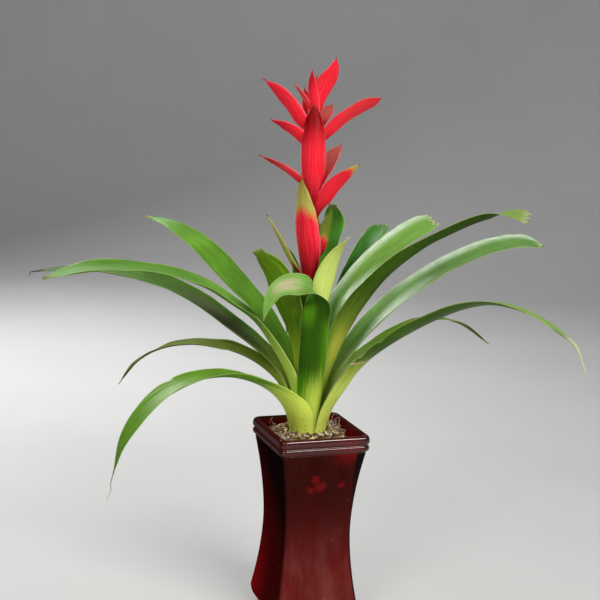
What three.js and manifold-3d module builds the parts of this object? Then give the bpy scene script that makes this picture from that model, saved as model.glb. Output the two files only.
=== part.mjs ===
// Potted bromeliad: a strap-leaved rosette with a red flower spike, standing in a waisted square glass vase.
// Millimetres, +Z up. The origin is the middle of the vase's flat base, on the surface that it stands on.
import * as THREE from 'three';
import { mergeVertices } from 'three/addons/utils/BufferGeometryUtils.js';
import Module from 'manifold-3d';

const wasm = await Module();
wasm.setup();

// Vase, across its flats
const MOUTH = 80;
const WAIST = 61;
const VASE_HEIGHT = 165;
const WAIST_HEIGHT = 80;
const FLARE = 10.8;
const FLARE_POWER = 1.76;
const HEEL_HEIGHT = 14;
const BASE_FLAT = 56;
const WALL = 4.5;
const GLASS_FLOOR = 10;
const OUTER_CORNER = 6;
const INNER_CORNER = 5;
const CORNER_STEPS = 4;
const BODY_STEP = 15;
const INNER_STEP = 18;

// Rolled lip, its groove and its second bead, as points [inwards from the mouth's half width, height]
const OUTER_LIP = [[2, 151.3], [0.5, 152.3], [0, 154.2], [0.4, 156], [1.2, 157.2], [0.2, 158.6], [0, 161],
  [0.5, 163.5], [1.8, VASE_HEIGHT]];
const INNER_LIP = [[3.6, VASE_HEIGHT], [4.8, 163.8], [5.3, 161]];

// Potting mix, in heights above the vase's base
const SEAT_GAP = 0.3;
const MIX_AT_WALL = 153.5;
const MIX_AT_FOOT = 161.5;
const MOUND_POWER = 1.3;
const LUMP = 0.9;
const CHIP_COUNT = 26;
const CHIP_SIZE = 1.6;
const CHIP_SHAPE = [1.3, 0.9, 0.7];
const HOLE_GAP = 0.8;

// Plant: where its foot stands, how far it is turned, and its crown under the leaves
const PLANT_PLACE = [-1, 6];
const PLANT_TURN = -21;
const CROWN_RADIUS = 16.6;
const CROWN_TOP = 157.5;
const CROWN_BOTTOM = 140;
const CROWN_HEEL = [11, 148];
const CROWN_SIDES = 24;

// Leaves
const LEAF_FOOT = CROWN_TOP + SEAT_GAP - VASE_HEIGHT;
const FOOT_RADIUS = 16;
const FOOT_STRAIGHT = 5;
const RING_PITCH = 1.5;
const LEAF_THICKNESS = 0.9;
const CHANNEL_RADIUS = 15;
const FLAT_RADIUS = 34;
const FLATTEN_FROM = 0.2;
const TIP_WIDTH = 1.6;
const WIDEN_LENGTH = 60;
const TAPER = [0.55, 2];
const TURN_LENGTH = 76;
const SWELL_START = 20;
const SWELL_END = 62;
const LEAF_STATIONS = 18;
const STATION_POWER = 1.1;
const LEAF_ACROSS = 4;

// Each leaf: the ring that its foot stands in, counted inwards; the heading of its blade, and how far its
// foot is turned from that; half the angle that the foot clasps; the blade's width, the length over which it
// is reached, and how much its sheath swells beyond it; how far it rolls, and between which shares of its
// length; from which share and with what power it narrows; the width of its tip; and its midrib as points
// [out from the axis, up from the vase's lip, sideways]
const LEAVES = [
  { name: 'leaf_low_left', ring: 0, heading: 212, turn: 30, clasp: 46, width: 26, swell: 5,
    roll: [-12, 0.3, 0.8],
    midrib: [[22.5, 13], [35, 29], [48, 39], [67, 46.5], [90, 50], [113, 48], [135, 40], [156, 23],
      [171, 2], [178, -21]] },
  { name: 'leaf_low_right', ring: 0, heading: 326, turn: 3, clasp: 34, width: 25, roll: [-10, 0.2, 0.5],
    midrib: [[21.9, 16], [33, 34], [47, 54.5], [64, 72], [96, 96], [122, 112], [143, 122], [164, 128],
      [186, 128], [207, 123], [224, 115], [237, 107], [247, 88]] },
  { name: 'leaf_low_back', ring: 0, heading: 97, turn: -8, clasp: 36, width: 25,
    midrib: [[19, 15], [32, 35], [56, 52], [86, 58], [116, 50], [142, 30], [158, 6]] },
  { name: 'leaf_thin_left', ring: 1, heading: 149, turn: 8, clasp: 34, width: 20, roll: [-10, 0.2, 0.5],
    midrib: [[17, 14], [26, 31], [46, 44], [66, 51], [90, 54], [112, 54], [130, 51], [151, 45],
      [174, 34], [192, 21], [208, 0]] },
  { name: 'leaf_short_right', ring: 1, heading: 40, turn: 0, clasp: 38, width: 18,
    midrib: [[16.5, 14], [23, 30], [60, 54], [103, 72], [144, 79], [180, 71], [201, 60], [221, 47]] },
  { name: 'leaf_folded_front', ring: 1, heading: 276, turn: -4, clasp: 34, width: 25,
    roll: [-140, 0.52, 0.8],
    midrib: [[17.7, 30], [22.6, 60], [27, 92], [30, 112], [33, 124, -5], [35, 127, -17],
      [38, 127, -26], [41, 123, -34], [43, 113, -40], [44, 98, -44]] },
  { name: 'leaf_long_left_lower', ring: 2, heading: 165, turn: 5, clasp: 40, width: 25,
    roll: [-15, 0.1, 0.4], taper: [0.65, 2.4], tip: 3,
    midrib: [[15, 18], [25, 41], [43, 59], [77, 82], [101, 97], [124, 107], [147, 113], [166, 116],
      [200, 118], [233, 115], [260, 110]] },
  { name: 'leaf_long_right_lower', ring: 2, heading: 14, turn: 0, clasp: 40, width: 26,
    roll: [18, 0.1, 0.4], taper: [0.88, 4], tip: 12,
    midrib: [[15, 17], [24, 40], [38, 67], [57, 91], [78, 111], [103, 129], [129, 143], [155, 154],
      [182, 159], [206, 156]] },
  { name: 'leaf_back', ring: 2, heading: 100, turn: -10, clasp: 30, width: 21,
    midrib: [[15, 17], [24, 42], [38, 66], [62, 82], [90, 84], [116, 72], [136, 50]] },
  { name: 'leaf_long_left_upper', ring: 3, heading: 196, turn: 20, clasp: 33, width: 25,
    roll: [-12, 0.25, 0.5], swell: 1.5, taper: [0.82, 3.2], tip: 8,
    midrib: [[13, 20], [20, 45], [35, 71], [51, 92], [73, 108], [90, 119], [112, 128], [138, 134],
      [162, 136], [186, 135], [210, 130.5], [224, 127]] },
  { name: 'leaf_long_right_upper', ring: 3, heading: 340, turn: -13, clasp: 34, width: 26,
    roll: [-32, 0.1, 0.4], taper: [0.35, 1], tip: 12,
    midrib: [[13, 28], [20, 58], [30, 88], [46, 118], [66, 142], [90, 162], [115, 177], [139, 189],
      [161, 195], [179, 192]] },
  { name: 'leaf_back_right', ring: 3, heading: 56, turn: 0, clasp: 24, width: 22, widen: 120,
    taper: [0.85, 4], tip: 14,
    midrib: [[13, 30], [20, 60], [40, 95], [62, 124], [84, 148], [100, 160], [112, 165]] },
  { name: 'leaf_high_left', ring: 4, heading: 135, turn: 7, clasp: 31, width: 24, widen: 130,
    roll: [-20, 0.3, 0.6], taper: [0.6, 2.2], tip: 4,
    midrib: [[11, 22], [20, 46], [48, 74], [71, 92], [98, 108], [125, 123], [148, 135], [176, 145],
      [199, 150], [231, 152]] },
  { name: 'leaf_inner_left', ring: 4, heading: 210, turn: 36, clasp: 31, width: 25, roll: [40, 0.4, 0.7],
    taper: [0.72, 3], tip: 10,
    midrib: [[10, 26], [13, 53], [17, 79], [23, 103], [31, 121], [40, 138], [50, 148], [56, 154]] },
  { name: 'leaf_high_right', ring: 4, heading: 36, turn: -10, clasp: 36, width: 23,
    roll: [30, 0.3, 0.8], taper: [0.9, 4], tip: 17,
    midrib: [[10, 30], [14, 69], [26, 100], [41, 119], [61, 137], [86, 153], [107, 164], [130, 172]] },
  { name: 'leaf_inner_front_right', ring: 5, heading: 315, turn: -8, clasp: 36, width: 26, widen: 150,
    roll: [-20, 0.5, 0.8],
    midrib: [[8.7, 30], [9, 57], [10.5, 92], [13, 118], [17, 136], [25, 152], [38, 166]] },
  { name: 'leaf_inner_back_left', ring: 5, heading: 130, turn: 0, clasp: 40, width: 18, widen: 140,
    midrib: [[8.6, 30], [10, 81], [17, 114], [24, 132], [30, 142], [36, 147]] },
  { name: 'leaf_inner_back_right', ring: 6, heading: 60, turn: 0, clasp: 36, width: 20, widen: 190,
    taper: [0.88, 4], tip: 8,
    midrib: [[7, 30], [7.4, 75], [15, 119], [24, 153], [32, 172], [26, 188]] },
];

// Flower spike: a scape that leans a little, and its bracts
const SCAPE_RADIUS = 3.6;
const SCAPE_TOP_RADIUS = 2;
const SCAPE_TOP = 268;
const SPIKE_LEAN = -1.2;
const BRACT_THICKNESS = 0.9;
const BRACT_RADIUS = 13;
const BRACT_TAPER = [0.45, 2];
const BRACT_ROOT = [0.5, 6];
const BRACT_NECK = 0.4;
const BRACT_STATIONS = 8;
const WIDE_BRACT = 16;

// Each bract: heading, width, roll, and its midrib as points [out from the scape's axis, up from the lip]
const BRACTS = [
  { heading: 234, width: 31, roll: 0, midrib: [[4, 118], [8, 135], [12, 160], [14, 185], [15, 212]] },
  { heading: 195, width: 7, roll: 30, midrib: [[2, 120], [14, 137], [23, 153], [30, 166], [38, 180]] },
  { heading: 335, width: 15, roll: -40, midrib: [[2, 135], [8, 152], [12, 168], [18, 186]] },
  { heading: 95, width: 22, roll: 0, midrib: [[3, 125], [8, 145], [10, 170], [14, 192]] },
  { heading: 130, width: 14, roll: 0, midrib: [[3, 175], [8, 192], [12, 206], [15, 215]] },
  { heading: 335, width: 15, roll: -50,
    midrib: [[3, 176], [11, 194], [22, 208], [32, 217], [42, 225]] },
  { heading: 190, width: 8, roll: 45, midrib: [[2, 198], [12, 210], [26, 220], [44, 229]] },
  { heading: 15, width: 16, roll: 35, taper: [0.6, 3], midrib: [[3, 196], [9, 212], [16, 226], [24, 239]] },
  { heading: 268, width: 25, roll: 0, taper: [0.45, 4.2],
    midrib: [[4, 188], [8, 205], [11, 228], [10, 250], [5, 271]] },
  { heading: 70, width: 20, roll: 0, midrib: [[3, 195], [9, 212], [12, 232], [17, 250]] },
  { heading: 200, width: 12, roll: 45, midrib: [[2, 230], [11, 244], [22, 252], [38, 259]] },
  { heading: 343, width: 12, roll: -50, taper: [0.75, 3],
    midrib: [[3, 234], [12, 248], [24, 260], [40, 270], [56, 278]] },
  { heading: 192, width: 14, roll: 50, taper: [0.55, 2.6],
    midrib: [[3, 242], [11, 257], [20, 270], [30, 281], [41, 290]] },
  { heading: 40, width: 13, roll: 30, taper: [0.6, 3], midrib: [[2, 246], [9, 259], [19, 271]] },
  { heading: 120, width: 16, roll: 0, midrib: [[2, 238], [8, 255], [12, 270], [18, 284]] },
  { heading: 185, width: 8, roll: 30, midrib: [[1, 260], [8, 275], [17, 288]] },
  { heading: 245, width: 12, roll: 0, midrib: [[1, 256], [4, 272], [6, 286], [6, 299]] },
  { heading: 75, width: 11, roll: 0, midrib: [[1, 258], [3, 274], [4, 294]] },
  { heading: 338, width: 23, roll: -40, midrib: [[1, 255], [5, 273], [11, 288], [16, 299], [18, 309]] },
];

// Finishes
const finish = (color, roughness) => new THREE.MeshStandardMaterial({ color, roughness });
const glass = finish(0x4a0a12, 0.08);
const mix = finish(0x4b3423, 0.95);
const leafGreen = finish(0x3f7a1f, 0.45);
const crownGreen = finish(0xb9c26a, 0.6);
const bractRed = finish(0xc8232f, 0.4);

// Turns a closed mesh into a solid for joining and cutting
function toSolid(geometry) {
  const bare = geometry.clone();
  bare.deleteAttribute('normal');
  bare.deleteAttribute('uv');
  const merged = mergeVertices(bare);
  const vertProperties = new Float32Array(merged.attributes.position.array);
  const triVerts = new Uint32Array(merged.index.array);
  return new wasm.Manifold(new wasm.Mesh({ numProp: 3, vertProperties, triVerts }));
}

// Turns a joined or cut solid back into a mesh
function toGeometry(solid) {
  const mesh = solid.getMesh();
  return closedGeometry(Array.from(mesh.vertProperties), Array.from(mesh.triVerts));
}

// A mesh from flat lists of coordinates and corners, turned right side out
function closedGeometry(positions, corners) {
  if (signedVolume(positions, corners) < 0) corners.reverse();
  const geometry = new THREE.BufferGeometry();
  geometry.setAttribute('position', new THREE.Float32BufferAttribute(positions, 3));
  geometry.setIndex(corners);
  geometry.computeVertexNormals();
  return geometry;
}

// Six times the volume inside the triangles, positive when they face outwards
function signedVolume(positions, corners) {
  const at = (i) => new THREE.Vector3().fromArray(positions, 3 * corners[i]);
  let sum = 0;
  for (let i = 0; i < corners.length; i += 3) sum += at(i).dot(at(i + 1).cross(at(i + 2)));
  return sum;
}

// A body skinned over rings of equal count, from a first flat end to a last one
function skinRings(rings) {
  const count = rings[0].length;
  const positions = rings.flat(2);
  const corners = [];
  for (let r = 0; r + 1 < rings.length; r++) {
    for (let i = 0; i < count; i++) {
      const a = r * count + i;
      const b = r * count + ((i + 1) % count);
      corners.push(a, b, b + count, a, b + count, a + count);
    }
  }
  const last = (rings.length - 1) * count;
  for (let i = 1; i + 1 < count; i++) {
    corners.push(0, i + 1, i);
    corners.push(last, last + i, last + i + 1);
  }
  return closedGeometry(positions, corners);
}

// Points round a square with rounded corners, one more point in the middle of each flat
function roundedSquare(half, radius, z) {
  const ring = [];
  for (let corner = 0; corner < 4; corner++) {
    const middle = Math.PI / 4 + (corner * Math.PI) / 2;
    const cx = (half - radius) * Math.SQRT2 * Math.cos(middle);
    const cy = (half - radius) * Math.SQRT2 * Math.sin(middle);
    for (let i = 0; i <= CORNER_STEPS; i++) {
      const angle = middle - Math.PI / 4 + (i / CORNER_STEPS) * (Math.PI / 2);
      ring.push([cx + radius * Math.cos(angle), cy + radius * Math.sin(angle), z]);
    }
    const flat = middle + Math.PI / 4;
    ring.push([half * Math.cos(flat), half * Math.sin(flat), z]);
  }
  return ring;
}

// Half the body's width at a height: narrowest at the waist, opening by a power of the distance from it
function bodyHalf(z) {
  const share = Math.abs(z - WAIST_HEIGHT) / (VASE_HEIGHT - WAIST_HEIGHT);
  return WAIST / 2 + FLARE * share ** FLARE_POWER;
}

// Outer profile from the base up, [half width, height]: flat base, rounded heel, waisted body, lip
function outerProfile() {
  const profile = [];
  const heel = bodyHalf(HEEL_HEIGHT);
  for (let i = 0; i <= 4; i++) {
    const angle = (i / 4) * (Math.PI / 2);
    const half = BASE_FLAT / 2 + (heel - BASE_FLAT / 2) * Math.sin(angle);
    profile.push([half, HEEL_HEIGHT * (1 - Math.cos(angle))]);
  }
  for (let z = 2 * HEEL_HEIGHT; z < OUTER_LIP[0][1] - 1; z += BODY_STEP) profile.push([bodyHalf(z), z]);
  return [...profile, ...OUTER_LIP.map(([inwards, z]) => [MOUTH / 2 - inwards, z])];
}

// Inner profile from the lip down to the glass floor, [half width, height]
function innerProfile() {
  const profile = INNER_LIP.map(([inwards, z]) => [MOUTH / 2 - inwards, z]);
  for (let z = 150; z > 2 * GLASS_FLOOR; z -= INNER_STEP) profile.push([bodyHalf(z) - WALL, z]);
  const foot = bodyHalf(GLASS_FLOOR + INNER_CORNER) - WALL;
  profile.push([foot - 1.5, GLASS_FLOOR + INNER_CORNER], [foot - INNER_CORNER, GLASS_FLOOR]);
  return profile;
}

// Vase: the outside and the inside skinned as one body, closed over the lip and the glass floor
function makeVase() {
  const outer = outerProfile().map(([half, z]) => roundedSquare(half, OUTER_CORNER, z));
  const inner = innerProfile().map(([half, z]) => roundedSquare(half, INNER_CORNER, z));
  return skinRings([...outer, ...inner]);
}

// Half the width inside the glass at a height, from the inner profile
function innerHalf(z) {
  const profile = innerProfile();
  const i = profile.findIndex((p) => p[1] <= z);
  const [upper, lower] = [profile[i - 1], profile[i]];
  return lower[0] + ((upper[0] - lower[0]) * (z - lower[1])) / (upper[1] - lower[1]);
}

// Seeded random numbers from 0 to 1
function seededRandom(seed) {
  let state = seed;
  return () => {
    state = (state * 16807) % 2147483647;
    return state / 2147483647;
  };
}

// Height of the mix at a share of the way from the plant's foot (0) to the wall (1), with low lumps
function mixHeight(share, x, y) {
  const mound = MIX_AT_WALL + (MIX_AT_FOOT - MIX_AT_WALL) * (1 - share) ** MOUND_POWER;
  return mound + LUMP * Math.sin(0.42 * x + 1) * Math.cos(0.37 * y - 0.5);
}

// Potting mix: fills the glass, heaped to the plant's foot, with a plain hole that the crown stands in
function makeMix() {
  const corner = INNER_CORNER - SEAT_GAP;
  const sides = innerProfile().filter(([, z]) => z < MIX_AT_WALL - 1).reverse();
  sides[0] = [sides[0][0], sides[0][1] + SEAT_GAP];
  const rings = sides.map(([half, z]) => roundedSquare(half - SEAT_GAP, corner, z));
  const edge = roundedSquare(innerHalf(MIX_AT_WALL) - SEAT_GAP, corner, MIX_AT_WALL);
  rings.push(edge);
  const hole = CROWN_RADIUS + HOLE_GAP;
  const rim = edge.map((_, i) => {
    const angle = (2 * Math.PI * (i + 1)) / edge.length;
    return [PLANT_PLACE[0] + hole * Math.cos(angle), PLANT_PLACE[1] + hole * Math.sin(angle)];
  });
  for (const share of [0.85, 0.55, 0.25, 0]) {
    rings.push(edge.map(([x, y], i) => {
      const px = rim[i][0] + (x - rim[i][0]) * share;
      const py = rim[i][1] + (y - rim[i][1]) * share;
      return [px, py, mixHeight(share, px, py)];
    }));
  }
  rings.push(rim.map(([x, y]) => [x, y, CROWN_BOTTOM - SEAT_GAP]));
  return toGeometry(addChips(toSolid(skinRings(rings))));
}

// Bark and stone chips, sunk into the top of the mix
function addChips(ground) {
  const random = seededRandom(7);
  let solid = ground;
  for (let i = 0; i < CHIP_COUNT; i++) {
    const angle = (i / CHIP_COUNT) * 4 * Math.PI + random();
    const share = 0.3 + 0.5 * random();
    const reach = CROWN_RADIUS + 2.5 + share * 14;
    const size = CHIP_SIZE * (1 + random());
    const chip = new THREE.IcosahedronGeometry(size, 0);
    chip.scale(...CHIP_SHAPE);
    chip.rotateZ(6 * random());
    const x = PLANT_PLACE[0] + reach * Math.cos(angle);
    const y = PLANT_PLACE[1] + reach * Math.sin(angle);
    const clear = innerHalf(MIX_AT_WALL) - SEAT_GAP - 1.5 * size;
    if (Math.max(Math.abs(x), Math.abs(y)) > clear) continue;
    chip.translate(x, y, mixHeight(share, x, y) + 0.2);
    solid = solid.add(toSolid(chip));
  }
  return solid;
}

// Short stem at the bottom of the rosette, standing in the mix, which the leaves and the scape grow from
function makeCrown() {
  const profile = [[0, CROWN_BOTTOM], [CROWN_HEEL[0], CROWN_BOTTOM], [CROWN_RADIUS, CROWN_HEEL[1]],
    [CROWN_RADIUS, CROWN_TOP], [0, CROWN_TOP]];
  const lathe = new THREE.LatheGeometry(profile.map(([r, z]) => new THREE.Vector2(r, z)), CROWN_SIDES);
  lathe.rotateX(Math.PI / 2);
  return toGeometry(toSolid(lathe));
}

const UPWARD = new THREE.Vector3(0, 0, 1);
const smooth = (a, b, x) => THREE.MathUtils.smoothstep(x, a, b);
const { clamp } = THREE.MathUtils;

// Frames along a path: the side vector is carried along with no spin of its own, then rolled
function framesAlong(path, shares, roll, firstSide) {
  let side = firstSide;
  return shares.map((share) => {
    const at = path.getPointAt(share);
    const along = path.getTangentAt(share);
    side = side.clone().addScaledVector(along, -side.dot(along)).normalize();
    const turned = side.clone().applyAxisAngle(along, roll(share));
    const upper = along.clone().cross(turned);
    return { at, along, side: turned, upper };
  });
}

// A blade: a thin sheet whose section is an arc across the path, closed by its edges and ends
function bladeGeometry({ frames, halfWidths, curves, thickness, across }) {
  const positions = [];
  for (const face of [1, -1]) {
    frames.forEach(({ at, side, upper }, i) => {
      for (let j = 0; j <= across; j++) {
        const arc = ((2 * j) / across - 1) * halfWidths[i];
        const turn = arc * curves[i];
        const radius = 1 / curves[i] - (face * thickness) / 2;
        const sideways = radius * Math.sin(turn);
        const raised = 1 / curves[i] - radius * Math.cos(turn);
        const point = at.clone().addScaledVector(side, sideways).addScaledVector(upper, raised);
        positions.push(point.x, point.y, point.z);
      }
    });
  }
  return closedGeometry(positions, sheetCorners(frames.length, across));
}

// Corners of the triangles of a sheet with two faces, split alike on both, and its border
function sheetCorners(stations, across) {
  const row = across + 1;
  const back = stations * row;
  const corners = [];
  for (let i = 0; i + 1 < stations; i++) {
    for (let j = 0; j < across; j++) {
      const a = i * row + j;
      const [b, c, d] = [a + 1, a + row + 1, a + row];
      corners.push(a, b, c, a, c, d);
      corners.push(back + a, back + c, back + b, back + a, back + d, back + c);
    }
  }
  const border = [];
  for (let j = 0; j < across; j++) border.push(j);
  for (let i = 0; i + 1 < stations; i++) border.push(i * row + across);
  for (let j = across; j > 0; j--) border.push((stations - 1) * row + j);
  for (let i = stations - 1; i > 0; i--) border.push(i * row);
  border.forEach((a, i) => {
    const b = border[(i + 1) % border.length];
    corners.push(a, back + a, back + b, a, back + b, b);
  });
  return corners;
}

// What is left of the full width at a share of the length, from the share where it starts to narrow
function narrowed(share, from, power) {
  return share < from ? 1 : 1 - ((share - from) / (1 - from)) ** power;
}

// A strap leaf: clasps the scape as an arc about the axis, opens as it leaves it, and narrows to its tip
function makeLeaf({ ring, turn, clasp, midrib, width, ...blade }) {
  const { widen = WIDEN_LENGTH, swell = 0, roll = [0, 0, 1], taper = TAPER, tip = TIP_WIDTH } = blade;
  const radius = FOOT_RADIUS - ring * RING_PITCH;
  const turned = THREE.MathUtils.degToRad(turn);
  const points = [[radius, LEAF_FOOT], [radius + 0.2, LEAF_FOOT + FOOT_STRAIGHT], ...midrib];
  const path = new THREE.CatmullRomCurve3(unwind(points, turned), false, 'centripetal');
  const length = path.getLength();
  const shares = Array.from({ length: LEAF_STATIONS + 1 }, (_, i) => (i / LEAF_STATIONS) ** STATION_POWER);
  const [rollBy, rollFrom, rollTo] = roll;
  const rollAt = (share) => {
    const rolled = THREE.MathUtils.degToRad(rollBy) * smooth(rollFrom, rollTo, share);
    return rolled - turned * smooth(0, TURN_LENGTH, share * length);
  };
  const firstSide = new THREE.Vector3(-Math.sin(turned), Math.cos(turned), 0);
  const frames = framesAlong(path, shares, rollAt, firstSide);
  const footHalf = radius * THREE.MathUtils.degToRad(clasp);
  const halfWidths = shares.map((share) => {
    const travelled = share * length;
    const grown = footHalf + (width / 2 - footHalf) * smooth(0, widen, travelled);
    const bulge = smooth(0, SWELL_START, travelled) * (1 - smooth(SWELL_START, SWELL_END, travelled));
    return Math.max((grown + swell * bulge) * narrowed(share, ...taper), tip / 2);
  });
  const curves = frames.map(({ at }, i) => {
    const opened = smooth(FLATTEN_FROM, 1, shares[i]);
    const channel = CHANNEL_RADIUS + (FLAT_RADIUS - CHANNEL_RADIUS) * opened;
    return 1 / Math.min(Math.hypot(at.x, at.y), channel);
  });
  return bladeGeometry({ frames, halfWidths, curves, thickness: LEAF_THICKNESS, across: LEAF_ACROSS });
}

// Points of a midrib in space, the turn of its foot let out over its first stretch
function unwind(points, turned) {
  let travelled = 0;
  return points.map(([out, up, side = 0], i) => {
    if (i > 0) travelled += Math.hypot(out - points[i - 1][0], up - points[i - 1][1]);
    const spun = turned * (1 - smooth(0, TURN_LENGTH, travelled));
    return new THREE.Vector3(out, side, up).applyAxisAngle(UPWARD, spun);
  });
}

// A bract: a lance-shaped blade, hollow towards the scape, its foot sunk into it
function makeBract({ heading, width, roll, midrib, taper = BRACT_TAPER }) {
  const points = midrib.map(([out, up]) => new THREE.Vector3(out, 0, up));
  points.unshift(new THREE.Vector3(BRACT_ROOT[0], 0, midrib[0][1] - BRACT_ROOT[1]));
  const path = new THREE.CatmullRomCurve3(points, false, 'centripetal');
  const shares = Array.from({ length: BRACT_STATIONS + 1 }, (_, i) => i / BRACT_STATIONS);
  const rollAt = (share) => THREE.MathUtils.degToRad(roll) * smooth(0, BRACT_NECK, share);
  const frames = framesAlong(path, shares, rollAt, new THREE.Vector3(0, 1, 0));
  const halfWidths = shares.map((share) => {
    const opened = 0.4 + 0.6 * smooth(0, BRACT_NECK, share);
    return Math.max((width / 2) * opened * narrowed(share, ...taper), TIP_WIDTH / 2);
  });
  const curves = frames.map(({ at }) => 1 / clamp(Math.hypot(at.x, at.y), SCAPE_RADIUS + 2, BRACT_RADIUS));
  const across = width > WIDE_BRACT ? 4 : 2;
  const blade = bladeGeometry({ frames, halfWidths, curves, thickness: BRACT_THICKNESS, across });
  return blade.rotateZ(THREE.MathUtils.degToRad(heading));
}

// Scape and bracts, grown as one piece: the largest body left once they are joined
function makeSpike() {
  const height = SCAPE_TOP - LEAF_FOOT;
  const scape = new THREE.CylinderGeometry(SCAPE_TOP_RADIUS, SCAPE_RADIUS, height, 10);
  scape.rotateX(Math.PI / 2);
  scape.translate(0, 0, LEAF_FOOT + height / 2);
  let solid = toSolid(scape);
  for (const bract of BRACTS) solid = solid.add(toSolid(makeBract(bract)));
  const bodies = solid.decompose().sort((a, b) => b.volume() - a.volume());
  return toGeometry(bodies[0]);
}

// The object as a scene graph
const plant = new THREE.Group();
plant.position.set(PLANT_PLACE[0], PLANT_PLACE[1], VASE_HEIGHT);
plant.rotation.z = THREE.MathUtils.degToRad(PLANT_TURN);

function addPiece(parent, name, geometry, material) {
  const mesh = new THREE.Mesh(geometry, material);
  mesh.name = name;
  parent.add(mesh);
  return mesh;
}

const potted = new THREE.Group();
addPiece(potted, 'vase', makeVase(), glass);
addPiece(potted, 'potting_mix', makeMix(), mix);
const crown = addPiece(potted, 'crown', makeCrown(), crownGreen);
crown.position.set(PLANT_PLACE[0], PLANT_PLACE[1], 0);
for (const leaf of LEAVES) {
  const mesh = addPiece(plant, leaf.name, makeLeaf(leaf), leafGreen);
  mesh.rotation.z = THREE.MathUtils.degToRad(leaf.heading);
}
const spike = addPiece(plant, 'flower_spike', makeSpike(), bractRed);
spike.rotation.y = THREE.MathUtils.degToRad(SPIKE_LEAN);
potted.add(plant);

export default potted;
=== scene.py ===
"""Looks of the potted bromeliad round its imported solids. Metres, +Z up, the vase's base at the origin."""

import logging
import math
from dataclasses import dataclass, field
from enum import Enum
from itertools import accumulate
from typing import Any

import bmesh
import bpy
import numpy as np
from mathutils import Matrix

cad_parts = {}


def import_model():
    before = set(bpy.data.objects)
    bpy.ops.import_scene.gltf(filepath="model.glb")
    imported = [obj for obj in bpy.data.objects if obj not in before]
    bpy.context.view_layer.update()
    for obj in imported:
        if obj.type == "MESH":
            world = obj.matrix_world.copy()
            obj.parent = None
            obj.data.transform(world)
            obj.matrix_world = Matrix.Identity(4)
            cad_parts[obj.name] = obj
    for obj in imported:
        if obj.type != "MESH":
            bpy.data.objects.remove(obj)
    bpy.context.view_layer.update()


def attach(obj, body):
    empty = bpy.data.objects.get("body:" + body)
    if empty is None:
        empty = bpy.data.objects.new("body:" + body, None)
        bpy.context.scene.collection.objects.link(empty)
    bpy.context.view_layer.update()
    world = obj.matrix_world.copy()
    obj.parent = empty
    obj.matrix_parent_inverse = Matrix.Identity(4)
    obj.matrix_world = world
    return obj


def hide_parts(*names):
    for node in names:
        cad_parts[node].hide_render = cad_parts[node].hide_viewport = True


LOG = logging.getLogger("bromeliad")
MM = 0.001

# Vase, in millimetres, as in the solids
MOUTH = 80.0
WAIST = 61.0
VASE_HEIGHT = 165.0
WAIST_HEIGHT = 80.0
FLARE = 10.8
FLARE_POWER = 1.76
HEEL_HEIGHT = 14.0
BASE_FLAT = 56.0
WALL = 4.5
GLASS_FLOOR = 10.0
INSIDE_STEP = 3.0
OUTER_CORNER = 6.0
INNER_CORNER = 5.0
LIP_START = 149.5
INSIDE_TOP = 150.0
OUTER_LIP = ((2, 151.3), (0.5, 152.3), (0, 154.2), (0.4, 156), (1.2, 157.2), (0.2, 158.6), (0, 161),
             (0.5, 163.5), (1.8, 165))
INNER_LIP = ((3.6, 165), (4.8, 163.8), (5.3, 161))

# Potting mix and the plant's foot
SEAT_GAP = 0.3
MIX_AT_WALL = 153.5
MIX_AT_FOOT = 161.5
MOUND_POWER = 1.3
LUMP = 0.9
LUMP_X = (0.42, 1.0)
LUMP_Y = (0.37, -0.5)
HOLE_GAP = 0.8
PLANT_PLACE = (-1.0, 6.0)
PLANT_TURN = -21.0
CROWN_RADIUS = 16.6
CROWN_TOP = 157.5
CROWN_BOTTOM = 140.0
CROWN_HEEL = (11.0, 148.0)

# Leaves and bracts
LEAF_FOOT = CROWN_TOP + SEAT_GAP - VASE_HEIGHT
FOOT_RADIUS = 16.0
FOOT_STRAIGHT = 5.0
FOOT_LEAN = 0.2
RING_PITCH = 1.5
BLADE_THICKNESS = 0.9
MARGIN_THINNING = 0.65
MARGIN_WAVER = 0.012
NOTCH_REACH = (0.006, 0.02)
THREAD_RADIUS = 0.55
CHANNEL_RADIUS = 15.0
FLAT_RADIUS = 34.0
FLATTEN_FROM = 0.2
TURN_LENGTH = 76.0
SWELL = (20.0, 62.0)
SCAPE_RADIUS = 3.6
SCAPE_TOP_RADIUS = 2.0
SCAPE_TOP = 268.0
SPIKE_LEAN = -1.2
BRACT_RADIUS = 13.0
BRACT_ROOT = (0.5, 6.0)
BRACT_NECK = 0.4

# How finely lines are worked out, and the pitch, fading and size of the seeded waves
SPAN_STEPS = 60
LINE_STATIONS = 241
CROWDING = 1.05
WAVE_PITCH = 1.6
WAVE_FADE = 0.72
WAVE_SIZE = 1.6


class Slot(Enum):
    """Material slots of the record."""

    GLASS = "ruby_glass"
    MIX = "potting_mix"
    CROWN = "crown"
    LEAF = "leaf"
    BRACT = "bract"


class Axis(Enum):
    """Row axes that points are turned about."""

    Y = 1
    Z = 2


def tone(text: str) -> tuple[float, float, float, float]:
    """A colour for a shader from its screen value.

    Args:
        text: Six hexadecimal digits, red, green and blue as on a screen.

    Returns:
        Linear red, green, blue and an alpha of 1.
    """
    parts = [int(text[i:i + 2], 16) / 255 for i in (0, 2, 4)]
    linear = [p / 12.92 if p <= 0.04045 else ((p + 0.055) / 1.055) ** 2.4 for p in parts]
    return (linear[0], linear[1], linear[2], 1.0)


def smooth(low: float, high: float, x: np.ndarray | float) -> np.ndarray:
    """Smooth step: 3t^2 - 2t^3 of the share t of the way from low to high.

    Args:
        low: Where the step starts.
        high: Where it ends.
        x: Values to step.

    Returns:
        Numbers from 0 to 1.
    """
    t = np.clip((np.asarray(x, float) - low) / (high - low), 0, 1)
    return t * t * (3 - 2 * t)


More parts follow.
